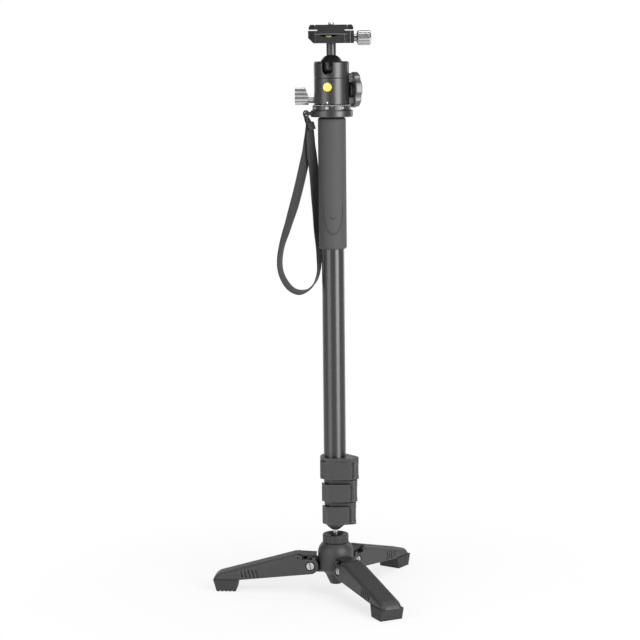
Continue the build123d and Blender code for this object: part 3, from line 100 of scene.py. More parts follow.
def soft_edges(material, radius):
    """Round the shading of sharp edges, and give a mask of those edges for a painted highlight on
    them, which partly stands for worn edges.
    """
    rounded = add_node(material, "Bevel", {"Radius": radius}, samples=6).outputs[0]
    flat = add_node(material, "NewGeometry").outputs["Normal"]
    values = {0: rounded, 1: flat}
    same = add_node(material, "VectorMath", values, operation="DOT_PRODUCT").outputs["Value"]
    # The mask starts where the rounding turns the normal by 6 degrees, and is full at 28
    values = {"Value": same, "From Min": 0.995, "From Max": 0.88}
    return rounded, add_node(material, "MapRange", values).outputs[0]


def noise(material, place, size, detail=2.0, stretch=(1, 1, 1)):
    """A noise whose grains have a size in metres, drawn out along the axes by stretch."""
    scale = tuple(1 / (size * s) for s in stretch)
    mapped = add_node(material, "Mapping", {"Vector": place, "Scale": scale}).outputs[0]
    values = {"Vector": mapped, "Scale": 1.0, "Detail": detail}
    return add_node(material, "TexNoise", values).outputs["Fac"]


def layers(material, tones, roughness=None, relief=None, edges=None, painted_hollow_shade=None):
    """Build up a finish and return its material. Over the first tone of its colour lie further
    tones by their shares, a lighter tone, if it has one, on edges of a radius, which is a
    painted highlight that partly stands for worn edges, and painted shade in hollows no wider
    than a reach. The roughness runs between two values by a pattern, and the relief raises a
    pattern."""
    shader = material.node_tree.nodes["Principled BSDF"]
    colour = shader.inputs["Base Color"].default_value[:3]
    # Painted highlight: a lighter tone on edges, partly standing for worn edges
    if edges:
        radius, edge_highlight_and_wear = edges
        normal, mask = soft_edges(material, radius)
        if edge_highlight_and_wear:
            tones = [*tones, (mask, edge_highlight_and_wear)]
    else:
        normal = add_node(material, "NewGeometry").outputs["Normal"]
    laid = rgba(colour, tones[0])
    for share, tone in tones[1:]:
        over = tone if isinstance(tone, bpy.types.NodeSocket) else rgba(colour, tone)
        values = {FACTOR: share, UNDER: laid, OVER: over}
        laid = add_node(material, "Mix", values, data_type="RGBA").outputs[MIXED]
    # Painted shade: ambient occlusion darkens the colour in hollows, in creases and between parts
    if painted_hollow_shade:
        reach, depth = painted_hollow_shade
        open_share = add_node(
            material, "AmbientOcclusion", {"Distance": reach}, samples=8
        ).outputs["AO"]
        # Full painted shade where half of the surroundings are open, and none where nearly all are
        values = {"Value": open_share, "From Min": 0.48, "From Max": 0.92, "To Min": 1 - depth}
        shade = add_node(material, "MapRange", values).outputs[0]
        values = {FACTOR: 1.0, UNDER: laid, OVER: shade}
        mixed = add_node(material, "Mix", values, data_type="RGBA", blend_type="MULTIPLY")
        laid = mixed.outputs[MIXED]
    if relief:
        pattern, depth = relief
        values = {"Height": pattern, "Distance": depth, "Normal": normal}
        normal = add_node(material, "Bump", values).outputs[0]
    found = {"Base Color": laid, "Normal": normal}
    if roughness:
        pattern, low, high = roughness
        values = {"Value": pattern, "To Min": low, "To Max": high}
        found["Roughness"] = add_node(material, "MapRange", values).outputs[0]
    for socket, value in found.items():
        material.node_tree.links.new(value, shader.inputs[socket])
    return material


# Finishes
def powder_coat(name, colour):
    """Die-cast aluminium with baked powder coat: an even satin skin with a fine orange-peel grain,
    and a painted highlight along the cast edges that partly stands for thinner, lighter paint
    there."""
    material, place = surface(name, colour, 0.0, 0.5, {"IOR": 1.5})
    cloud = noise(material, place, 9 * MM, 3)
    peel = noise(material, place, 0.9 * MM)
    return layers(
        material,
        tones=[0.86, (cloud, 1.14)],
        roughness=(cloud, 0.42, 0.56),
        relief=(peel, 0.035 * MM),
        edges=(1.2 * MM, 2.6),
        painted_hollow_shade=(4 * MM, 0.88),
    )


def moulded_nylon(name, colour, roughness=0.42):
    """Glass-filled nylon, injection moulded: a satin skin with a spark-eroded grain, and a painted
    highlight along its edges that partly stands for burnishing where hands rub."""
    material, place = surface(name, colour, 0.0, roughness, {"IOR": 1.53})
    cloud = noise(material, place, 12 * MM)
    grain = 0.7 * MM
    values = {"Vector": place, "Scale": 1 / grain}
    pits = add_node(material, "TexVoronoi", values, feature="SMOOTH_F1").outputs["Distance"]
    return layers(
        material,
        tones=[0.9, (cloud, 1.1)],
        roughness=(cloud, roughness - 0.05, roughness + 0.07),
        relief=(pits, 0.03 * MM),
        edges=(1.2 * MM, 3.4),
        painted_hollow_shade=(4 * MM, 0.85),
    )


def moulded_rubber(name, colour):
    """Rubber, moulded: matt and slightly dusty, with a pebbled grain."""
    values = {"IOR": 1.52, "Specular IOR Level": 0.35}
    material, place = surface(name, colour, 0.0, 0.68, values)
    cloud = noise(material, place, 16 * MM, 3)
    grain = 0.9 * MM
    values = {"Vector": place, "Scale": 1 / grain}
    pebbles = add_node(material, "TexVoronoi", values).outputs["Distance"]
    values = {"Value": pebbles, "From Min": 0.2, "From Max": 0.7}
    dust = add_node(material, "MapRange", values).outputs[0]
    values = {FACTOR: dust, UNDER: rgba(colour, 0.92), OVER: rgba(colour, 1.1)}
    dusty = add_node(material, "Mix", values, data_type="RGBA").outputs[MIXED]
    return layers(
        material,
        tones=[0.93, (cloud, dusty)],
        roughness=(cloud, 0.6, 0.76),
        relief=(pebbles, 0.06 * MM),
        edges=(0.7 * MM, 1.4),
        painted_hollow_shade=(3 * MM, 0.75),
    )


def ground_anodised(name, colour, roughness):
    """Aluminium tube, centreless ground and anodised dark: fine rings round the tube stretch each
    highlight into a long upright band."""
    values = {"Anisotropic": 0.85, "Anisotropic Rotation": 0.25}
    material, place = surface(name, colour, 0.9, roughness, values)
    # The real rings are some 0.1 mm apart, drawn coarser so that they survive a render
    rings = noise(material, place, 0.6 * MM, 2, (40, 40, 1))
    cloud = noise(material, place, 30 * MM, 2, (1, 1, 4))
    return layers(
        material,
        tones=[0.94, (rings, 1.06)],
        roughness=(cloud, roughness - 0.03, roughness + 0.04),
        relief=(rings, 0.003 * MM),
        edges=(0.3 * MM, 2.4),
    )


def turned_anodised(
    name, colour, roughness, axis=(0, 0, 1), metallic=0.8, pitch=0.35 * MM, edge_highlight_and_wear=2.2
):
    """Aluminium turned on a lathe and anodised: even rings round the turning axis, and a painted
    highlight along sharp edges that partly stands for raw metal showing there."""
    material, place = surface(name, colour, metallic, roughness)
    values = {0: place, 1: axis}
    along = add_node(material, "VectorMath", values, operation="DOT_PRODUCT").outputs["Value"]
    step = add_node(material, "Math", {0: along, 1: 1 / pitch}, operation="MULTIPLY").outputs[0]
    values = {"W": step, "Scale": 1.0, "Detail": 1.0}
    rings = add_node(material, "TexNoise", values, noise_dimensions="1D").outputs["Fac"]
    cloud = noise(material, place, 14 * MM)
    return layers(
        material,
        tones=[0.93, (rings, 1.07)],
        roughness=(cloud, roughness - 0.03, roughness + 0.05),
        relief=(rings, 0.006 * MM),
        edges=(0.35 * MM, edge_highlight_and_wear),
        painted_hollow_shade=(3 * MM, 0.6),
    )


def blasted_anodised(name, colour, roughness, shade, edge_highlight_and_wear):
    """Aluminium, bead blasted and anodised: a soft sparkle of fine dimples without any rings."""
    material, place = surface(name, colour, 0.9, roughness)
    dimples = noise(material, place, 0.45 * MM)
    cloud = noise(material, place, 10 * MM)
    return layers(
        material,
        tones=[0.94, (cloud, 1.06)],
        roughness=(cloud, roughness - 0.04, roughness + 0.05),
        relief=(dimples, 0.02 * MM),
        edges=(0.5 * MM, edge_highlight_and_wear),
        painted_hollow_shade=(4 * MM, shade),
    )


def grooved_anodised(name, colour, roughness, pitch):
    """Aluminium, milled with finger grooves and bright anodised: painted highlights on the crests
    and painted shade in the valleys of grooves that run across the knob."""
    material, place = surface(name, colour, 1.0, roughness)
    height = add_node(material, "SeparateXYZ", {0: place}).outputs["Z"]
    values = {0: height, 1: 2 * math.pi / pitch}
    turns = add_node(material, "Math", values, operation="MULTIPLY").outputs[0]
    wave = add_node(material, "Math", {0: turns}, operation="SINE").outputs[0]
    values = {"Value": wave, "From Min": -0.9, "From Max": 0.7}
    crest = add_node(material, "MapRange", values).outputs[0]
    marks = noise(material, place, 0.4 * MM, 2, (6, 6, 1))
    values = {"Value": marks, "To Min": 0.0, "To Max": 0.2}
    scratch = add_node(material, "MapRange", values).outputs[0]
    return layers(
        material,
        # Painted shade in the valleys and painted highlight on the crests
        tones=[0.3, (crest, 1.05), (scratch, 0.85)],
        roughness=(marks, roughness - 0.05, roughness + 0.07),
        relief=(crest, 0.25 * MM),
        edges=(0.4 * MM, 1.2),
    )


def machined_steel(name, colour):
    """Stainless steel, machined: bright, with faint tool marks and a few fine scratches."""
    material, place = surface(name, colour, 1.0, 0.25)
    marks = noise(material, place, 0.3 * MM, 3, (8, 1, 1))
    return layers(
        material,
        tones=[0.9, (marks, 1.05)],
        roughness=(marks, 0.21, 0.33),
        relief=(marks, 0.004 * MM),
        edges=(0.2 * MM, None),
        painted_hollow_shade=(2 * MM, 0.9),
    )


def black_oxide(name, colour):
    """Alloy steel, blackened in hot oxide: nearly black with a thin oily film."""
    material, place = surface(name, colour, 0.6, 0.35)
    film = noise(material, place, 1.5 * MM, 3)
    tones = [0.8, (film, 1.3)]
    return layers(material, tones, roughness=(film, 0.28, 0.45), edges=(0.2 * MM, 4.0))


def printed_ink(name, colour):
    """Pad-printed ink: opaque and slightly uneven where it sits on the metal's grain."""
    material, place = surface(name, colour, 0.0, 0.55, {"IOR": 1.48})
    speckle = noise(material, place, 0.25 * MM)
    tones = [0.88, (speckle, 1.0)]
    return layers(material, tones, relief=(speckle, 0.01 * MM))


def wave_scale(pitch):
    """The scale at which a wave texture repeats once in a pitch in metres."""
    return 2 * math.pi / (WAVE_RADIANS * pitch)


def woven_nylon(name, colour, pitch):
    """Nylon webbing, woven: ribs of warp cords along the band, crossed by a weft that dips
    between them."""
    # The real weft is some 1 mm apart, drawn at twice that so that it shows
    values = {"IOR": 1.53, "Specular IOR Level": 0.3, "Sheen Weight": 0.25, "Sheen Roughness": 0.5}
    material, place = surface(name, colour, 0.0, 0.8, values)
    along = add_node(material, "UVMap", uv_map="webbing").outputs[0]
    yarns = []
    for direction, spacing, waver in (("Y", 0.7 * pitch, 0.4), ("X", pitch, 0.8)):
        values = {"Vector": along, "Scale": wave_scale(spacing), "Distortion": waver}
        yarn = add_node(material, "TexWave", values, wave_type="BANDS", bands_direction=direction)
        yarns.append(yarn.outputs["Fac"])
    warp, weft = yarns
    weave = add_node(material, "Math", {0: warp, 1: weft}, operation="MULTIPLY").outputs[0]
    fibres = noise(material, place, 0.5 * MM, 3)
    values = {"Value": fibres, "From Min": 0.45, "From Max": 0.8, "To Max": 0.5}
    fuzz = add_node(material, "MapRange", values).outputs[0]
    return layers(
        material,
        tones=[0.55, (weave, 1.45), (fuzz, 1.3)],
        roughness=(weave, 0.86, 0.72),
        relief=(weave, 0.12 * MM),
    )


def spun_thread(name, colour):
    """Bonded nylon thread: a tight twist with a faint shine."""
    material, place = surface(name, colour, 0.0, 0.55, {"IOR": 1.53})
    twist = noise(material, place, 0.3 * MM, 2, (1, 1, 3))
    return layers(material, [0.7, (twist, 1.3)], relief=(twist, 0.05 * MM))


def vial_acrylic(name, colour):
    """Tinted acrylic, cast: the spirit level's vial, glossy, with a tint that deepens here and
    there."""
    values = {"IOR": 1.49, "Coat Weight": 0.6, "Coat Roughness": 0.03}
    material, place = surface(name, colour, 0.0, 0.08, values)
    depth = noise(material, place, 3 * MM, 1)
    return layers(material, [0.85, (depth, 1.2)])


def studio_floor(name, colour):
    """A pale studio sweep: matt paper that fades into the white background away from the
    object, with its shadow kept."""
    material, place = surface(name, colour, 0.0, 0.9, {"Specular IOR Level": 0.1})
    grain = noise(material, place, 2 * MM)
    layers(material, [0.985, (grain, 1.0)])
    away = add_node(material, "VectorMath", {0: place}, operation="LENGTH").outputs["Value"]
    # Metres from the column, between which the shadow fades out
    values = {"Value": away, "From Min": 0.1, "From Max": 0.4, "To Min": 0.74}
    fade = add_node(material, "MapRange", values).outputs[0]
    rays = add_node(material, "LightPath").outputs
    values = {0: rays["Is Camera Ray"], 1: rays["Is Glossy Ray"]}
    seen = add_node(material, "Math", values, operation="MAXIMUM").outputs[0]
    share = add_node(material, "Math", {0: fade, 1: seen}, operation="MULTIPLY").outputs[0]
    white = add_node(material, "Emission", {"Color": (1, 1, 1, 1)}).outputs[0]
    paper = material.node_tree.nodes["Principled BSDF"].outputs[0]
    values = {0: share, 1: paper, 2: white}
    blended = add_node(material, "MixShader", values).outputs[0]
    output = material.node_tree.nodes["Material Output"]
    material.node_tree.links.new(blended, output.inputs["Surface"])
    return material


# Sizes and colours that a user would change
def colour_choice(label, description, code):
    return bpy.props.FloatVectorProperty(
        name=label,
        description=description,
        default=linear(code),
        min=0,
        max=1,
        size=3,
        subtype="COLOR",
    )


def length_choice(label, description, millimetres):
    return bpy.props.FloatProperty(
        name=label,
        description=description,
        default=millimetres * MM,
        min=0,
        unit="LENGTH",
        subtype="DISTANCE",
        precision=5,
    )


class MonopodColours(bpy.types.PropertyGroup):
    """Colours of the finishes."""

    base: colour_choice("Base", "Powder coat of the hub and the legs", "#363637")
    black_nylon: colour_choice("Black nylon", "Base fittings, tube plug and ball cup", "#262627")
    seat: colour_choice("Ball seat", "Natural nylon of the base ball's seat", "#b9b9b4")
    guide: colour_choice("Guides", "Natural nylon of the tubes' guides", "#b4b4b0")
    foot: colour_choice("Feet", "Rubber of the feet", "#333334")
    grip: colour_choice("Grip", "Rubber of the grip", "#464647")
    lock: colour_choice("Locks", "Nylon of the flip locks", "#363637")
    tube: colour_choice("Tubes", "Anodised tube sections", "#555556")
    head: colour_choice("Head", "Anodised housing and platform", "#4a4a4b")
    ball: colour_choice("Ball", "Hard anodised ball", "#2a2a2b")
    clamp: colour_choice("Clamp", "Anodised clamp and plate", "#454546")
    knob: colour_choice("Main knob", "Bead-blasted knob", "#757576")
    silver: colour_choice("Silver knobs", "Bright anodised knobs", "#d0d0d1")
    gold: colour_choice("Trim", "Gold anodised trim disc", "#eccb66")
    steel: colour_choice("Steel", "Machined pins and studs", "#c9c9c8")
    oxide: colour_choice("Bolts", "Black oxide of the bolts and lock pins", "#1c1c1d")
    ink: colour_choice("Print", "Marks of the pan scale", "#f6f6f4")
    webbing: colour_choice("Strap", "Nylon webbing", "#383839")
    level: colour_choice("Level", "Tinted vial", "#7f8c34")
    level_ring: colour_choice("Level ring", "Ring printed on the vial", "#161617")
    bubble: colour_choice("Bubble", "Bubble in the vial", "#e6eeb4")
    floor: colour_choice("Floor", "Studio paper", "#f4f4f4")


class MonopodSizes(bpy.types.PropertyGroup):
    """Sizes of the pieces that this file makes."""

    strap_width: length_choice("Strap width", "Width of the webbing", 12.8)
    strap_thickness: length_choice("Strap thickness", "Thickness of the webbing", 1.5)
    strap_cup: length_choice("Strap cupping", "How far the webbing curves across its width", 0.5)
    yarn_pitch: length_choice("Weave", "Pitch of the webbing's weft", 2.2)
    thread: length_choice("Thread", "Diameter of the sewing thread", 0.5)
    tick_width: length_choice("Tick width", "Width of a line of the pan scale", 0.55)
    numeral_height: length_choice("Numerals", "Height of the pan scale's numbers", 2.7)
    print_depth: length_choice("Print", "Thickness of the printed ink", 0.04)
    index_size: length_choice("Index", "Height of the index mark on the housing", 2.4)
    groove_pitch: length_choice("Knob grooves", "Pitch of the pan knob's finger grooves", 4.4)
    outline_bead: length_choice("Grip outline", "Diameter of the bead round the thumb rest", 0.8)


# Object and mesh helpers
def link_object(name, data):
    """Make an object of some data and link it to the scene."""
    made = bpy.data.objects.new(name, data)
    bpy.context.scene.collection.objects.link(made)
    return made


def new_piece(name, vertices, faces, material, body, smooth=True):
    """Link a mesh as a piece that rides on a body of the frame."""
    mesh = bpy.data.meshes.new(name)
    mesh.from_pydata([tuple(v) for v in vertices], [], faces)
    mesh.validate()
    mesh.materials.append(material)
    for face in mesh.polygons:
        face.use_smooth = smooth
    made = link_object(name, mesh)
    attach(made, body)
    return made


def blend_keys(keys, at):
    """The value at a place between keys of (place, value), with a smooth turn at each key."""
    if at <= keys[0][0]:
        return keys[0][1]
    for (a, low), (b, high) in zip(keys, keys[1:]):
        if at <= b:
            t = (at - a) / (b - a)
            t = t * t * (3 - 2 * t)
            return low + (high - low) * t
    return keys[-1][1]


def spline_points(route, resolution=16):
    """Points along a smooth curve that a route's points, in millimetres, pull into shape."""
    curve = bpy.data.curves.new("route", "CURVE")
    curve.dimensions = "3D"
    spline = curve.splines.new("NURBS")
    spline.points.add(len(route) - 1)
    for point, place in zip(spline.points, route):
        point.co = (*(Vector(place) * MM), 1.0)
    spline.order_u = 3
    spline.use_endpoint_u = True
    spline.resolution_u = resolution
    carrier = bpy.data.objects.new("route", curve)
    mesh = bpy.data.meshes.new_from_object(carrier)
    points = [vertex.co.copy() for vertex in mesh.vertices]
    bpy.data.objects.remove(carrier)
    bpy.data.curves.remove(curve)
    bpy.data.meshes.remove(mesh)
    return points


def skin(start, rings, around, turned=False):
    """Faces over rings of points, closed at both ends. They look the other way if turned."""
    faces = []
    for a in range(start, start + (rings - 1) * around, around):
        b = a + around
        for j in range(around):
            k = (j + 1) % around
            face = (a + j, b + j, b + k, a + k)
            faces.append(face[:1] + face[:0:-1] if turned else face)
    first, last = tuple(range(start, start + around)), tuple(range(b, b + around))
    return faces + ([first[::-1], last] if turned else [first, last[::-1]])


def band(name, points, turn_keys, width, thickness, cup, material, body, slot):
    """Sweep a flat woven band along points. Its width starts square to the loop and turns about
    the line by keys of (share of the length, degrees)."""
    columns = 10
    edge_power = 9  # the higher it is, the squarer are the band's edges
    count = len(points)
    lengths = [0.0]
    for before, after in zip(points, points[1:]):
        lengths.append(lengths[-1] + (after - before).length)
    rim = []
    for i in range(columns + 1):
        u = -1 + 2 * i / columns
        rim.append((u, math.sqrt(max(0.0, 1 - abs(u) ** edge_power))))
    section = rim + [(u, -v) for u, v in reversed(rim[1:-1])]
    around = len(section)
    vertices = []
    for i, point in enumerate(points):
        ahead = points[min(i + 1, count - 1)] - points[max(i - 1, 0)]
        tangent = ahead.normalized()
        side = Vector((0, 1, 0))
        side = (side - tangent * side.dot(tangent)).normalized()
        inward = side.cross(tangent)
        angle = math.radians(blend_keys(turn_keys, lengths[i] / lengths[-1]))
        across = side * math.cos(angle) + inward * math.sin(angle)
        normal = tangent.cross(across)
        for u, v in section:
            lift = cup * (1 - u * u) + v * thickness / 2
            vertices.append(point + across * (u * width / 2) + normal * (lift - cup / 2))
    made = new_piece(name, vertices, skin(0, count, around), material, body)
    layer = made.data.uv_layers.new(name="webbing")
    for face in made.data.polygons:
        for loop in face.loop_indices:
            index = made.data.loops[loop].vertex_index
            ring, spot = divmod(index, around)
            layer.data[loop].uv = (lengths[ring], section[spot][0] * width / 2)
    return made


def rods(name, lines, radius, material, body, sides=8):
    """Thin round rods along lines of points, joined as one piece."""
    tip = 0.55  # how thick a rod's ends are, against the rod
    vertices, faces = [], []
    for line in lines:
        start = len(vertices)
        normal = None
        for i, point in enumerate(line):
            tangent = (line[min(i + 1, len(line) - 1)] - line[max(i - 1, 0)]).normalized()
            if normal is None:
                normal = tangent.orthogonal().normalized()
            normal = (normal - tangent * normal.dot(tangent)).normalized()
            other = tangent.cross(normal)
            reach = radius * (tip if i in (0, len(line) - 1) else 1.0)
            for j in range(sides):
                turn = 2 * math.pi * j / sides
                vertices.append(point + (normal * math.cos(turn) + other * math.sin(turn)) * reach)
        faces += skin(start, len(line), sides, turned=True)
    return new_piece(name, vertices, faces, material, body)


def on_axis(azimuth, radius, height):
    """A point at an azimuth in degrees, a radius and a height round an upright axis."""
    turn = math.radians(azimuth)
    return Vector((radius * math.cos(turn), radius * math.sin(turn), height))


# The strap's route as in the part's source, with how far each point stands behind the loop's
# plane, in millimetres: places across the column, places back, and heights
STRAP_ROUTE = [
    (-26.2, 0.9, 546.0), (-27.0, 1.1, 528.0), (-33.4, 4.0, 498.0), (-42.0, 6.0, 463.0),
    (-52.0, 5.0, 431.0), (-60.8, 4.0, 405.0), (-62.4, 3.0, 381.0), (-53.0, 3.0, 361.5),
    (-40.0, 3.0, 353.5), (-25.0, 4.0, 359.0), (-16.6, 6.0, 375.0), (-15.9, 9.0, 397.0),
    (-18.0, 11.0, 427.0), (-19.4, 10.0, 465.0), (-21.6, 4.5, 501.0), (-25.0, -0.6, 528.0),
    (-24.9, -0.8, 546.0),
]
STRAP_TURNS = [
    (0.0, -38), (0.05, -52), (0.12, -58), (0.22, -58), (0.29, -44), (0.36, -31),
    (0.42, -29), (0.46, -30), (0.495, -24), (0.535, 0), (0.575, 15), (0.635, 30),
    (0.73, 45), (0.82, 58), (0.92, 60), (0.96, 50), (1.0, 38),
]
# The fold over the lug's bar, from the left ply's end over the bar to the right ply's end
ANCHOR_ROUTE = [
    (-26.2, 0.9, 546.0), (-26.6, 0.9, 549.5), (-28.2, 0.6, 553.0), (-30.0, 0.2, 556.8),
    (-32.2, 0.0, 559.8), (-32.2, 0.0, 563.5), (-29.6, 0.0, 565.1), (-27.0, 0.0, 563.5),
    (-27.0, 0.0, 559.8), (-28.2, -0.1, 557.0), (-26.6, -0.5, 553.0), (-25.0, -0.8, 549.5),
    (-24.9, -0.8, 546.0),
]
# The cut end of the webbing that stands off in front of the stitches
TAIL_ROUTE = [(-24.6, -2.5, 552.0), (-23.4, -2.9, 548.0), (-21.6, -3.4, 543.6)]
TAIL_TURNS = [(0.0, -38), (1.0, -34)]
ANCHOR_TURNS = [(0.0, 38), (0.2, 22), (0.38, 0), (0.62, 0), (0.8, -22), (1.0, -38)]
# The stitches through both plies: rows across the webbing and columns along it, in millimetres
ROW_HEIGHTS = (549.5, 548.2, 541.5, 540.2)
ROW_PLACES = (-4.2, -2.1, 0.0, 2.1, 4.2)
COLUMN_HEIGHTS = (542.8, 544.9, 547.0)
COLUMN_PLACES = (-4.6, 4.6)
STITCH_LENGTH = 1.5


# Where the photograph was taken from, in metres and degrees
CAMERA_PLACE = (0.0, -2.27, 0.649)
CAMERA_FALL = 8.18
CAMERA_SWING = 0.4
CAMERA_ROLL = -0.58


class MONOPOD_OT_camera(bpy.types.Operator):
    """Place the camera where the photograph was taken from"""

    bl_idname = "monopod.camera"
    bl_label = "Camera"

    def execute(self, context):
        lens_pixels = 1973.0
        picture_pixels = 640.0
        sensor = 36.0
        data = bpy.data.cameras.new("camera")
        data.sensor_fit = "HORIZONTAL"
        data.sensor_width = sensor
        data.lens = lens_pixels / picture_pixels * sensor
        data.clip_start = 0.05
        data.clip_end = 50.0
        made = link_object("camera", data)
        made.location = CAMERA_PLACE
        tilt, swing = math.radians(90 - CAMERA_FALL), math.radians(CAMERA_SWING)
        look = Euler((tilt, 0, swing), "XYZ").to_matrix()
        roll = Matrix.Rotation(math.radians(CAMERA_ROLL), 3, "Z")
        made.rotation_euler = (look @ roll).to_euler()
        context.scene.camera = made
        return {"FINISHED"}


class MONOPOD_OT_wrist_strap(bpy.types.Operator):
    """Weave the wrist strap, its fold over the lug and its stitches"""

    bl_idname = "monopod.wrist_strap"
    bl_label = "Wrist strap"

    def execute(self, context):
        sizes = context.scene.monopod_sizes
        colours = context.scene.monopod_colours
        webbing = woven_nylon("Nylon webbing, woven", colours.webbing, sizes.yarn_pitch)
        thread = spun_thread("Nylon thread, bonded", colours.webbing)
        route = spline_points(STRAP_ROUTE)
        shape = (sizes.strap_width, sizes.strap_thickness, sizes.strap_cup)
        strap = band("wrist_strap_loop", route, STRAP_TURNS, *shape, webbing, "upper", "webbing")
        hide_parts("wrist_strap")
        line = spline_points(ANCHOR_ROUTE, 8)
        fold = band("wrist_strap_fold", line, ANCHOR_TURNS, *shape, webbing, "upper", "webbing")
        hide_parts("strap_anchor")
        line = spline_points(TAIL_ROUTE, 8)
        band("wrist_strap_tail", line, TAIL_TURNS, *shape, webbing, "upper", "webbing")
        turn = math.radians(ANCHOR_TURNS[0][1])
        across = Vector((math.sin(turn), math.cos(turn), 0))
        out = Vector((across.y, -across.x, 0)) * (sizes.strap_thickness + sizes.strap_cup) / 2
        back, front = (Vector((x, y, 0)) * MM for x, y, _ in (ANCHOR_ROUTE[0], ANCHOR_ROUTE[-1]))
        up = Vector((0, 0, 1))
        stitches = [(across, place, height) for height in ROW_HEIGHTS for place in ROW_PLACES]
        stitches += [(up, place, height) for place in COLUMN_PLACES for height in COLUMN_HEIGHTS]
        lines = []
        for face in (front + out, back - out):
            for way, place, height in stitches:
                middle = face + across * place * MM + up * height * MM
                half = way * STITCH_LENGTH / 2 * MM
                lines.append([middle - half, middle, middle + half])
        rods("wrist_strap_stitches", lines, sizes.thread / 2, thread, "upper")
        return {"FINISHED"}


# The pan scale lies on the ring's bevel, and its angles are in degrees
SCALE_START = -104.0  # where the index mark stands
TICK_STEP = 5
TICKS_TO_LONG = 3
LONG_TICK = (0.02, 1.0)  # its ends, as shares of the bevel
SHORT_TICK = (0.3, 1.0)
NUMERAL_STEP = 45
FIRST_NUMERAL = 90
FONT_SCALE = 1.35  # a font's size against its numbers' height
RING_BEVEL = 1.2 * MM
RING_GAP = 0.3 * MM  # under the housing
INDEX_FOOT = 0.9 * MM  # above the housing's lower edge
INDEX_SLOPE = 0.55
INDEX_ROWS = 6


class MONOPOD_OT_pan_scale(bpy.types.Operator):
    """Print the degree scale on the pan ring and the index mark on the housing"""

    bl_idname = "monopod.pan_scale"
    bl_label = "Pan scale"

    def execute(self, context):
        sizes = context.scene.monopod_sizes
        ink = printed_ink("Pad-printed ink", context.scene.monopod_colours.ink)
        low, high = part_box("pan_base")
        ring = (high.x - low.x) / 2
        housing_low, housing_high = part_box("head_housing")
        top = housing_low.z - RING_GAP
        depth = sizes.print_depth
        half = sizes.tick_width / 2
        vertices, faces = [], []
        for tick in range(360 // TICK_STEP):
            ends = SHORT_TICK if tick % TICKS_TO_LONG else LONG_TICK
            turn = SCALE_START + tick * TICK_STEP
            side = Vector((-math.sin(math.radians(turn)), math.cos(math.radians(turn)), 0))
            a = len(vertices)
            for share in ends:
                for lift in (-depth, depth):
                    reach = ring - RING_BEVEL * share + lift
                    spot = on_axis(turn, reach, top - RING_BEVEL * (1 - share) + lift)
                    vertices += [spot - side * half, spot + side * half]
            faces += [
                (a + 2, a + 3, a + 7, a + 6),
                (a, a + 4, a + 5, a + 1),
                (a, a + 1, a + 3, a + 2),
                (a + 4, a + 6, a + 7, a + 5),
                (a, a + 2, a + 6, a + 4),
                (a + 1, a + 5, a + 7, a + 3),
            ]
        new_piece("pan_scale_ticks", vertices, faces, ink, "upper", smooth=False)
        middle = (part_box("platform")[1].z + top - RING_BEVEL) / 2
        vertices, faces = [], []
        for angle in range(0, 360, NUMERAL_STEP):
            text = bpy.data.curves.new("numeral", "FONT")
            text.body = str((FIRST_NUMERAL + angle) % 360)
            text.align_x = text.align_y = "CENTER"
            text.size = sizes.numeral_height * FONT_SCALE
            text.extrude = depth
            carrier = link_object("numeral", text)
            context.view_layer.update()
            seen = carrier.evaluated_get(context.evaluated_depsgraph_get())
            mesh = bpy.data.meshes.new_from_object(seen)
            first = len(vertices)
            for vertex in mesh.vertices:
                turn = SCALE_START + angle + math.degrees(vertex.co.x / ring)
                vertices.append(on_axis(turn, ring + vertex.co.z, middle + vertex.co.y))
            faces += [tuple(first + i for i in face.vertices) for face in mesh.polygons]
            bpy.data.objects.remove(carrier)
            bpy.data.curves.remove(text)
            bpy.data.meshes.remove(mesh)
        new_piece("pan_scale_numbers", vertices, faces, ink, "upper", smooth=False)
        housing = (housing_high.x - housing_low.x) / 2
        height = sizes.index_size
        foot = housing_low.z + INDEX_FOOT
        vertices, faces = [], []
        for lift in (-depth, depth):
            for row in range(INDEX_ROWS + 1):
                share = row / INDEX_ROWS
                for side in (-1, 1):
                    turn = SCALE_START + math.degrees(side * height * INDEX_SLOPE * share / housing)
                    vertices.append(on_axis(turn, housing + lift, foot + height * share))
        count = 2 * (INDEX_ROWS + 1)
        for a in range(0, 2 * INDEX_ROWS, 2):
            b = count + a
            faces += [(b, b + 1, b + 3, b + 2), (a, a + 2, a + 3, a + 1)]
            faces += [(a, b, b + 2, a + 2), (a + 1, a + 3, b + 3, b + 1)]
        a = 2 * INDEX_ROWS
        faces.append((a, count + a, count + a + 1, a + 1))
        new_piece("pan_index", vertices, faces, ink, "head", smooth=False)
        return {"FINISHED"}


# The bead round the thumb rest, in degrees round the grip and in millimetres above its foot. It
# is a U whose arms run on upwards and sink into the rubber, with a smile inside it.
REST_AZIMUTH = -88.0
REST_REACH = 43.0
REST_FOOT = 18.0
REST_DEPTH = 29.0
REST_ARM = 24.0
REST_STEPS = 60
SMILE_REACH = 12.0
SMILE_FOOT = 35.6
SMILE_LIFT = 2.4
SMILE_STEPS = 8  # on either side of its middle
OUTLINE_SHADE = 0.5


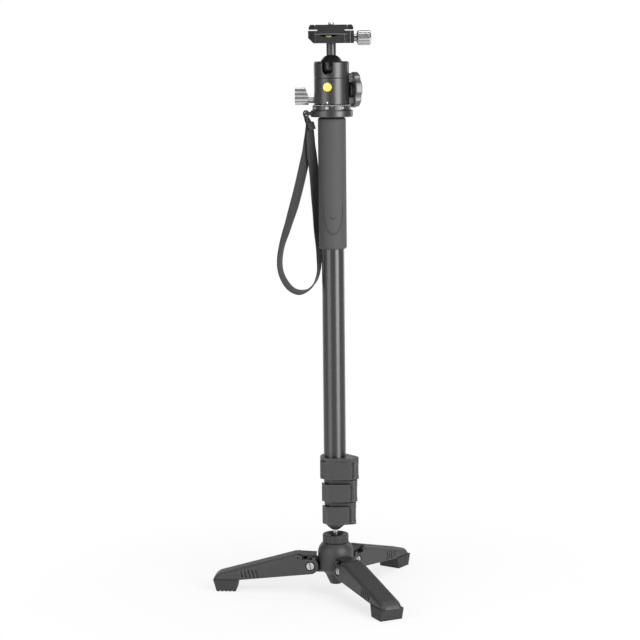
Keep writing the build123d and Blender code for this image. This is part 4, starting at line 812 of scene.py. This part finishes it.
class MONOPOD_OT_grip_outline(bpy.types.Operator):
    """Mould the bead round the thumb rest into the grip"""

    bl_idname = "monopod.grip_outline"
    bl_label = "Grip outline"

    def execute(self, context):
        sizes = context.scene.monopod_sizes
        dark = tuple(part * OUTLINE_SHADE for part in context.scene.monopod_colours.grip)
        rubber = moulded_rubber("Thermoplastic rubber, moulded outline", dark)
        low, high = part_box("grip")
        radius = (high.x - low.x) / 2
        rest = []
        for step in range(REST_STEPS + 1):
            turn = math.pi * (1 + step / REST_STEPS)
            height = low.z + (REST_FOOT + REST_DEPTH * (1 + math.sin(turn))) * MM
            rest.append(on_axis(REST_AZIMUTH + REST_REACH * math.cos(turn), radius, height))
        sunk = radius - sizes.outline_bead
        rise = Vector((0, 0, REST_ARM * MM))
        rest.insert(0, on_axis(REST_AZIMUTH - REST_REACH, sunk, rest[0].z) + rise)
        rest.append(on_axis(REST_AZIMUTH + REST_REACH, sunk, rest[-1].z) + rise)
        smile = []
        for step in range(-SMILE_STEPS, SMILE_STEPS + 1):
            share = step / SMILE_STEPS
            height = low.z + (SMILE_FOOT + SMILE_LIFT * share**2) * MM
            smile.append(on_axis(REST_AZIMUTH + SMILE_REACH * share, radius, height))
        bead = sizes.outline_bead / 2
        rods("grip_thumb_outline", [rest, smile], bead, rubber, "upper")
        return {"FINISHED"}


# The ring on the spirit level's vial and the bubble in it
RING_RADIUS = 1.7 * MM
RING_LINE = 0.14 * MM  # half of its width
RING_STEPS = 32
RING_SIDES = 6
BUBBLE_RADIUS = 1.15 * MM
BUBBLE_RISE = 0.3 * MM
BUBBLE_ASIDE = 0.3 * MM
BUBBLE_CLOSE = 0.96  # the share of a quarter turn at which a small flat closes its top
BUBBLE_ROWS = 5
BUBBLE_COLUMNS = 20
VIAL_SKIN = 0.02 * MM  # how far the ring stands out and the bubble sinks in


class MONOPOD_OT_level(bpy.types.Operator):
    """Set the bubble and the ring of the spirit level into its vial"""

    bl_idname = "monopod.level"
    bl_label = "Spirit level"

    def execute(self, context):
        low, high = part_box("bubble_level")
        centre = (low + high) / 2
        centre.z = high.z
        colours = context.scene.monopod_colours
        black = printed_ink("Pad-printed ink, black", colours.level_ring)
        clear = vial_acrylic("Acrylic, cast bubble", colours.bubble)
        ring = []
        for step in range(RING_STEPS + 1):
            ring.append(centre + on_axis(360 * step / RING_STEPS, RING_RADIUS, VIAL_SKIN))
        rods("level_ring", [ring], RING_LINE, black, "clamp", RING_SIDES)
        centre.x += BUBBLE_ASIDE
        vertices = []
        for row in range(BUBBLE_ROWS):
            share = row / (BUBBLE_ROWS - 1)
            reach = BUBBLE_RADIUS * math.cos(share * math.pi / 2 * BUBBLE_CLOSE)
            rise = BUBBLE_RISE * math.sin(share * math.pi / 2) - VIAL_SKIN
            for column in range(BUBBLE_COLUMNS):
                turn = 360 * column / BUBBLE_COLUMNS
                vertices.append(centre + on_axis(turn, reach, rise))
        faces = skin(0, BUBBLE_ROWS, BUBBLE_COLUMNS, turned=True)
        new_piece("level_bubble", vertices, faces, clear, "clamp")
        return {"FINISHED"}


def dress(names, material):
    """Give nodes of the frame a finish, or stop where a node is missing."""
    missing = [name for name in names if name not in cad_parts]
    if missing:
        raise RuntimeError("nodes missing from the frame: " + ", ".join(missing))
    for name in names:
        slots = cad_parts[name].data.materials
        slots.clear()
        slots.append(material)


class MONOPOD_OT_folding_base(bpy.types.Operator):
    """Finish the hub, legs, feet, latches and the ball that the column stands on"""

    bl_idname = "monopod.folding_base"
    bl_label = "Folding base"

    def execute(self, context):
        colours = context.scene.monopod_colours
        legs, latches, feet, pins = (
            [f"{kind}_{side}" for side in ("left", "rear", "front")]
            for kind in ("leg", "leg_latch", "foot", "leg_pin")
        )
        cast = powder_coat("Die-cast aluminium, powder coated", colours.base)
        dress(["base_hub", *legs], cast)
        nylon = moulded_nylon("Glass-filled nylon, moulded fittings", colours.black_nylon)
        dress(["hub_bottom_plug", "tension_collar", "bottom_fitting", *latches], nylon)
        dress(feet, moulded_rubber("Natural rubber, moulded feet", colours.foot))
        steel = machined_steel("Stainless steel, turned pins", colours.steel)
        dress([*pins, "base_ball", "base_stud"], steel)
        dress(["base_ball_seat"], moulded_nylon("Natural nylon, moulded seat", colours.seat))
        return {"FINISHED"}


class MONOPOD_OT_tubes(bpy.types.Operator):
    """Finish the telescopic tubes and their guides"""

    bl_idname = "monopod.tubes"
    bl_label = "Tubes"

    def execute(self, context):
        colours = context.scene.monopod_colours
        aluminium = ground_anodised("Aluminium tube, ground and anodised", colours.tube, 0.34)
        nylon = moulded_nylon("Natural nylon, moulded guides", colours.guide)
        dress(["upper_tube"], aluminium)
        for number in (2, 3, 4):
            dress([f"section_{number}_tube"], aluminium)
            dress([f"section_{number}_guide"], nylon)
        return {"FINISHED"}


class MONOPOD_OT_flip_locks(bpy.types.Operator):
    """Finish the collars, levers, pins and bolts of the three flip locks"""

    bl_idname = "monopod.flip_locks"
    bl_label = "Flip locks"

    def execute(self, context):
        colours = context.scene.monopod_colours
        nylon = moulded_nylon("Glass-filled nylon, moulded locks", colours.lock, 0.33)
        blackened = black_oxide("Alloy steel, black oxide", colours.oxide)
        for number in (1, 2, 3):
            dress([f"lock_{number}_collar", f"lock_{number}_lever"], nylon)
            dress([f"lock_{number}_pin", f"lock_{number}_bolt"], blackened)
        return {"FINISHED"}


class MONOPOD_OT_grip(bpy.types.Operator):
    """Finish the rubber grip and the plug above it"""

    bl_idname = "monopod.grip"
    bl_label = "Grip"

    def execute(self, context):
        colours = context.scene.monopod_colours
        dress(["grip"], moulded_rubber("Thermoplastic rubber, moulded grip", colours.grip))
        plug = moulded_nylon("Glass-filled nylon, moulded plug", colours.black_nylon)
        dress(["tube_top_plug"], plug)
        return {"FINISHED"}


class MONOPOD_OT_ball_head(bpy.types.Operator):
    """Finish the platform, the pan base, the housing, the ball and its stem"""

    bl_idname = "monopod.ball_head"
    bl_label = "Ball head"

    def execute(self, context):
        colours = context.scene.monopod_colours
        dress(
            ["platform", "pan_base", "head_housing", "ball_stem"],
            turned_anodised("Aluminium, turned and anodised black", colours.head, 0.33),
        )
        dress(
            ["head_ball"],
            turned_anodised("Aluminium ball, hard anodised", colours.ball, 0.22, metallic=0.5),
        )
        dress(["ball_cup"], moulded_nylon("Acetal, moulded cup", colours.black_nylon))
        dress(["platform_stud"], machined_steel("Stainless steel, turned stud", colours.steel))
        gold = turned_anodised(
            "Aluminium trim, gold anodised",
            colours.gold,
            0.3,
            axis=HOUSING_FRONT,
            metallic=0.7,
            pitch=0.3 * MM,
            edge_highlight_and_wear=1.1,
        )
        dress(["trim_disc"], gold)
        return {"FINISHED"}


class MONOPOD_OT_knobs(bpy.types.Operator):
    """Finish the ball lock, pan lock and clamp knobs"""

    bl_idname = "monopod.knobs"
    bl_label = "Knobs"

    def execute(self, context):
        colours = context.scene.monopod_colours
        sizes = context.scene.monopod_sizes
        blasted = blasted_anodised(
            "Aluminium, bead blasted and anodised", colours.knob, 0.5, shade=0.35, edge_highlight_and_wear=1.2
        )
        dress(["ball_lock_knob"], blasted)
        grooved = grooved_anodised(
            "Aluminium pan knob, grooved and anodised", colours.silver, 0.42, sizes.groove_pitch
        )
        dress(["pan_lock_knob"], grooved)
        bright = turned_anodised(
            "Aluminium clamp knob, bright anodised",
            colours.silver,
            0.28,
            axis=(1, 0, 0),
            metallic=1.0,
            pitch=0.5 * MM,
            edge_highlight_and_wear=1.2,
        )
        dress(["clamp_knob"], bright)
        return {"FINISHED"}


# The scoop across the clamp's deck, as in the part's source
DECK_RISE = 10.2 * MM  # above the clamp's underside
SCOOP_RADIUS = 23.0 * MM
SCOOP_DEPTH = 3.6 * MM
SCOOP_PLACE = 23.0 * MM  # its middle, from the clamp's left end
WEB_GAP = 1.0 * MM  # behind the level
WEB_THICKNESS = 3.0 * MM
WEB_SINK = 0.05 * MM  # into the scoop's floor
WEB_POINTS = 25


def scoop_web(material):
    """Close the scoop behind the level, since the photo shows it in the clamp's front alone."""
    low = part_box("clamp_body")[0]
    deck = low.z + DECK_RISE
    reach = math.acos(1 - SCOOP_DEPTH / SCOOP_RADIUS)
    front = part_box("bubble_level")[1].y + WEB_GAP
    vertices = []
    for y in (front, front + WEB_THICKNESS):
        for point in range(WEB_POINTS):
            turn = reach * (2 * point / (WEB_POINTS - 1) - 1)
            fall = SCOOP_DEPTH - SCOOP_RADIUS * (1 - math.cos(turn))
            across = low.x + SCOOP_PLACE + SCOOP_RADIUS * math.sin(turn)
            sink = WEB_SINK if fall > WEB_SINK else 0
            vertices.append((across, y, deck - fall - sink))
    faces = skin(0, 2, WEB_POINTS)
    new_piece("clamp_scoop_web", vertices, faces, material, "clamp", False)


class MONOPOD_OT_clamp(bpy.types.Operator):
    """Finish the clamp, its jaw, the quick-release plate and their hardware"""

    bl_idname = "monopod.clamp"
    bl_label = "Clamp and plate"

    def execute(self, context):
        colours = context.scene.monopod_colours
        milled = blasted_anodised(
            "Aluminium, milled and anodised black", colours.clamp, 0.34, shade=0.8, edge_highlight_and_wear=3.2
        )
        dress(["clamp_body", "clamp_jaw", "qr_plate"], milled)
        scoop_web(milled)
        dress(
            ["camera_screw", "clamp_guide_pins"],
            machined_steel("Stainless steel, turned screw", colours.steel),
        )
        dress(["clamp_bolt"], black_oxide("Alloy steel bolt, black oxide", colours.oxide))
        dress(["bubble_level"], vial_acrylic("Acrylic, cast and tinted", colours.level))
        return {"FINISHED"}


# The studio, in metres and watts
FLOOR_REACH = 12.0
FLOOR_DROP = 0.0004  # below the feet, so that their soles don't lie in it
LAMP_TARGET = (0, 0, 0.35)
TOP_PLACE = (0.0, 0.1, 2.3)
TOP_SIZE = 1.4
TOP_WATTS = 15
FILL = 0.14  # the strength of the white room on the object


class MONOPOD_OT_stage(bpy.types.Operator):
    """Lay the floor and set the studio lamps"""

    bl_idname = "monopod.stage"
    bl_label = "Stage"

    def execute(self, context):
        paper = studio_floor("Studio paper, matt", context.scene.monopod_colours.floor)
        mesh = bpy.data.meshes.new("floor")
        corners = [(-1, -1), (1, -1), (1, 1), (-1, 1)]
        places = [(x * FLOOR_REACH, y * FLOOR_REACH, 0) for x, y in corners]
        mesh.from_pydata(places, [], [(0, 1, 2, 3)])
        mesh.materials.append(paper)
        floor = link_object("floor", mesh)
        floor.location.z = -FLOOR_DROP
        lamps = [
            # name, azimuth from the camera, height, distance, width, tall, watts
            ("lamp_right", 43, 0.8, 1.7, 1.05, 1.7, 40),
            ("lamp_left", -46, 0.8, 1.7, 1.1, 1.7, 16),
            ("lamp_rear_left", -150, 0.9, 1.9, 0.5, 1.6, 6),
            ("lamp_rear_right", 140, 0.9, 1.9, 0.5, 1.6, 7),
        ]
        for name, azimuth, height, distance, width, tall, watts in lamps:
            data = bpy.data.lights.new(name, "AREA")
            data.shape = "RECTANGLE"
            data.size = width
            data.size_y = tall
            data.energy = watts
            lamp = link_object(name, data)
            lamp.location = on_axis(-90 + azimuth, distance, height)
            aim = Vector(LAMP_TARGET) - lamp.location
            lamp.rotation_euler = aim.to_track_quat("-Z", "Y").to_euler()
        data = bpy.data.lights.new("lamp_top", "AREA")
        data.shape = "DISK"
        data.size = TOP_SIZE
        data.energy = TOP_WATTS
        link_object("lamp_top", data).location = TOP_PLACE
        world = bpy.data.worlds.new("studio")
        context.scene.world = world
        world.use_nodes = True
        world.node_tree.nodes.clear()
        rays = add_node(world, "LightPath").outputs
        values = {0: rays["Is Glossy Ray"], 1: rays["Is Transmission Ray"]}
        shine = add_node(world, "Math", values, operation="MAXIMUM").outputs[0]
        way = add_node(world, "TexCoord").outputs["Generated"]
        back = add_node(world, "SeparateXYZ", {0: way}).outputs["Y"]
        # A reflection finds the room dark, but for the backdrop behind the object
        values = {"Value": back, "From Min": 0.9, "From Max": 0.995, "To Min": 0.05}
        backdrop = add_node(world, "MapRange", values).outputs[0]
        values = {"Value": shine, "To Min": FILL, "To Max": backdrop}
        level = add_node(world, "MapRange", values).outputs[0]
        values = {0: level, 1: rays["Is Camera Ray"]}
        seen = add_node(world, "Math", values, operation="MAXIMUM").outputs[0]
        values = {"Color": (1, 1, 1, 1), "Strength": seen}
        light = add_node(world, "Background", values).outputs[0]
        add_node(world, "OutputWorld", {"Surface": light})
        context.scene.view_settings.view_transform = "Standard"
        return {"FINISHED"}


class MONOPOD_PT_panel(bpy.types.Panel):
    """Sizes, colours and pieces of the monopod"""

    bl_idname = "MONOPOD_PT_panel"
    bl_label = "Monopod"
    bl_space_type = "VIEW_3D"
    bl_region_type = "UI"
    bl_category = "Monopod"

    def draw(self, context):
        column = self.layout.column()
        for group in (context.scene.monopod_sizes, context.scene.monopod_colours):
            for name in group.__annotations__:
                column.prop(group, name)
        for operator in OPERATORS:
            column.operator(operator.bl_idname)


OPERATORS = [
    MONOPOD_OT_camera,
    MONOPOD_OT_folding_base,
    MONOPOD_OT_tubes,
    MONOPOD_OT_flip_locks,
    MONOPOD_OT_grip,
    MONOPOD_OT_grip_outline,
    MONOPOD_OT_wrist_strap,
    MONOPOD_OT_ball_head,
    MONOPOD_OT_pan_scale,
    MONOPOD_OT_knobs,
    MONOPOD_OT_clamp,
    MONOPOD_OT_level,
    MONOPOD_OT_stage,
]
CLASSES = [MonopodColours, MonopodSizes, *OPERATORS, MONOPOD_PT_panel]


def register():
    for kind in CLASSES:
        bpy.utils.register_class(kind)
    bpy.types.Scene.monopod_colours = bpy.props.PointerProperty(type=MonopodColours)
    bpy.types.Scene.monopod_sizes = bpy.props.PointerProperty(type=MonopodSizes)


def unregister():
    del bpy.types.Scene.monopod_sizes
    del bpy.types.Scene.monopod_colours
    for kind in reversed(CLASSES):
        bpy.utils.unregister_class(kind)


def main():
    register()
    for operator in OPERATORS:
        family, name = operator.bl_idname.split(".")
        getattr(getattr(bpy.ops, family), name)()


if __name__ == "__main__":
    main()
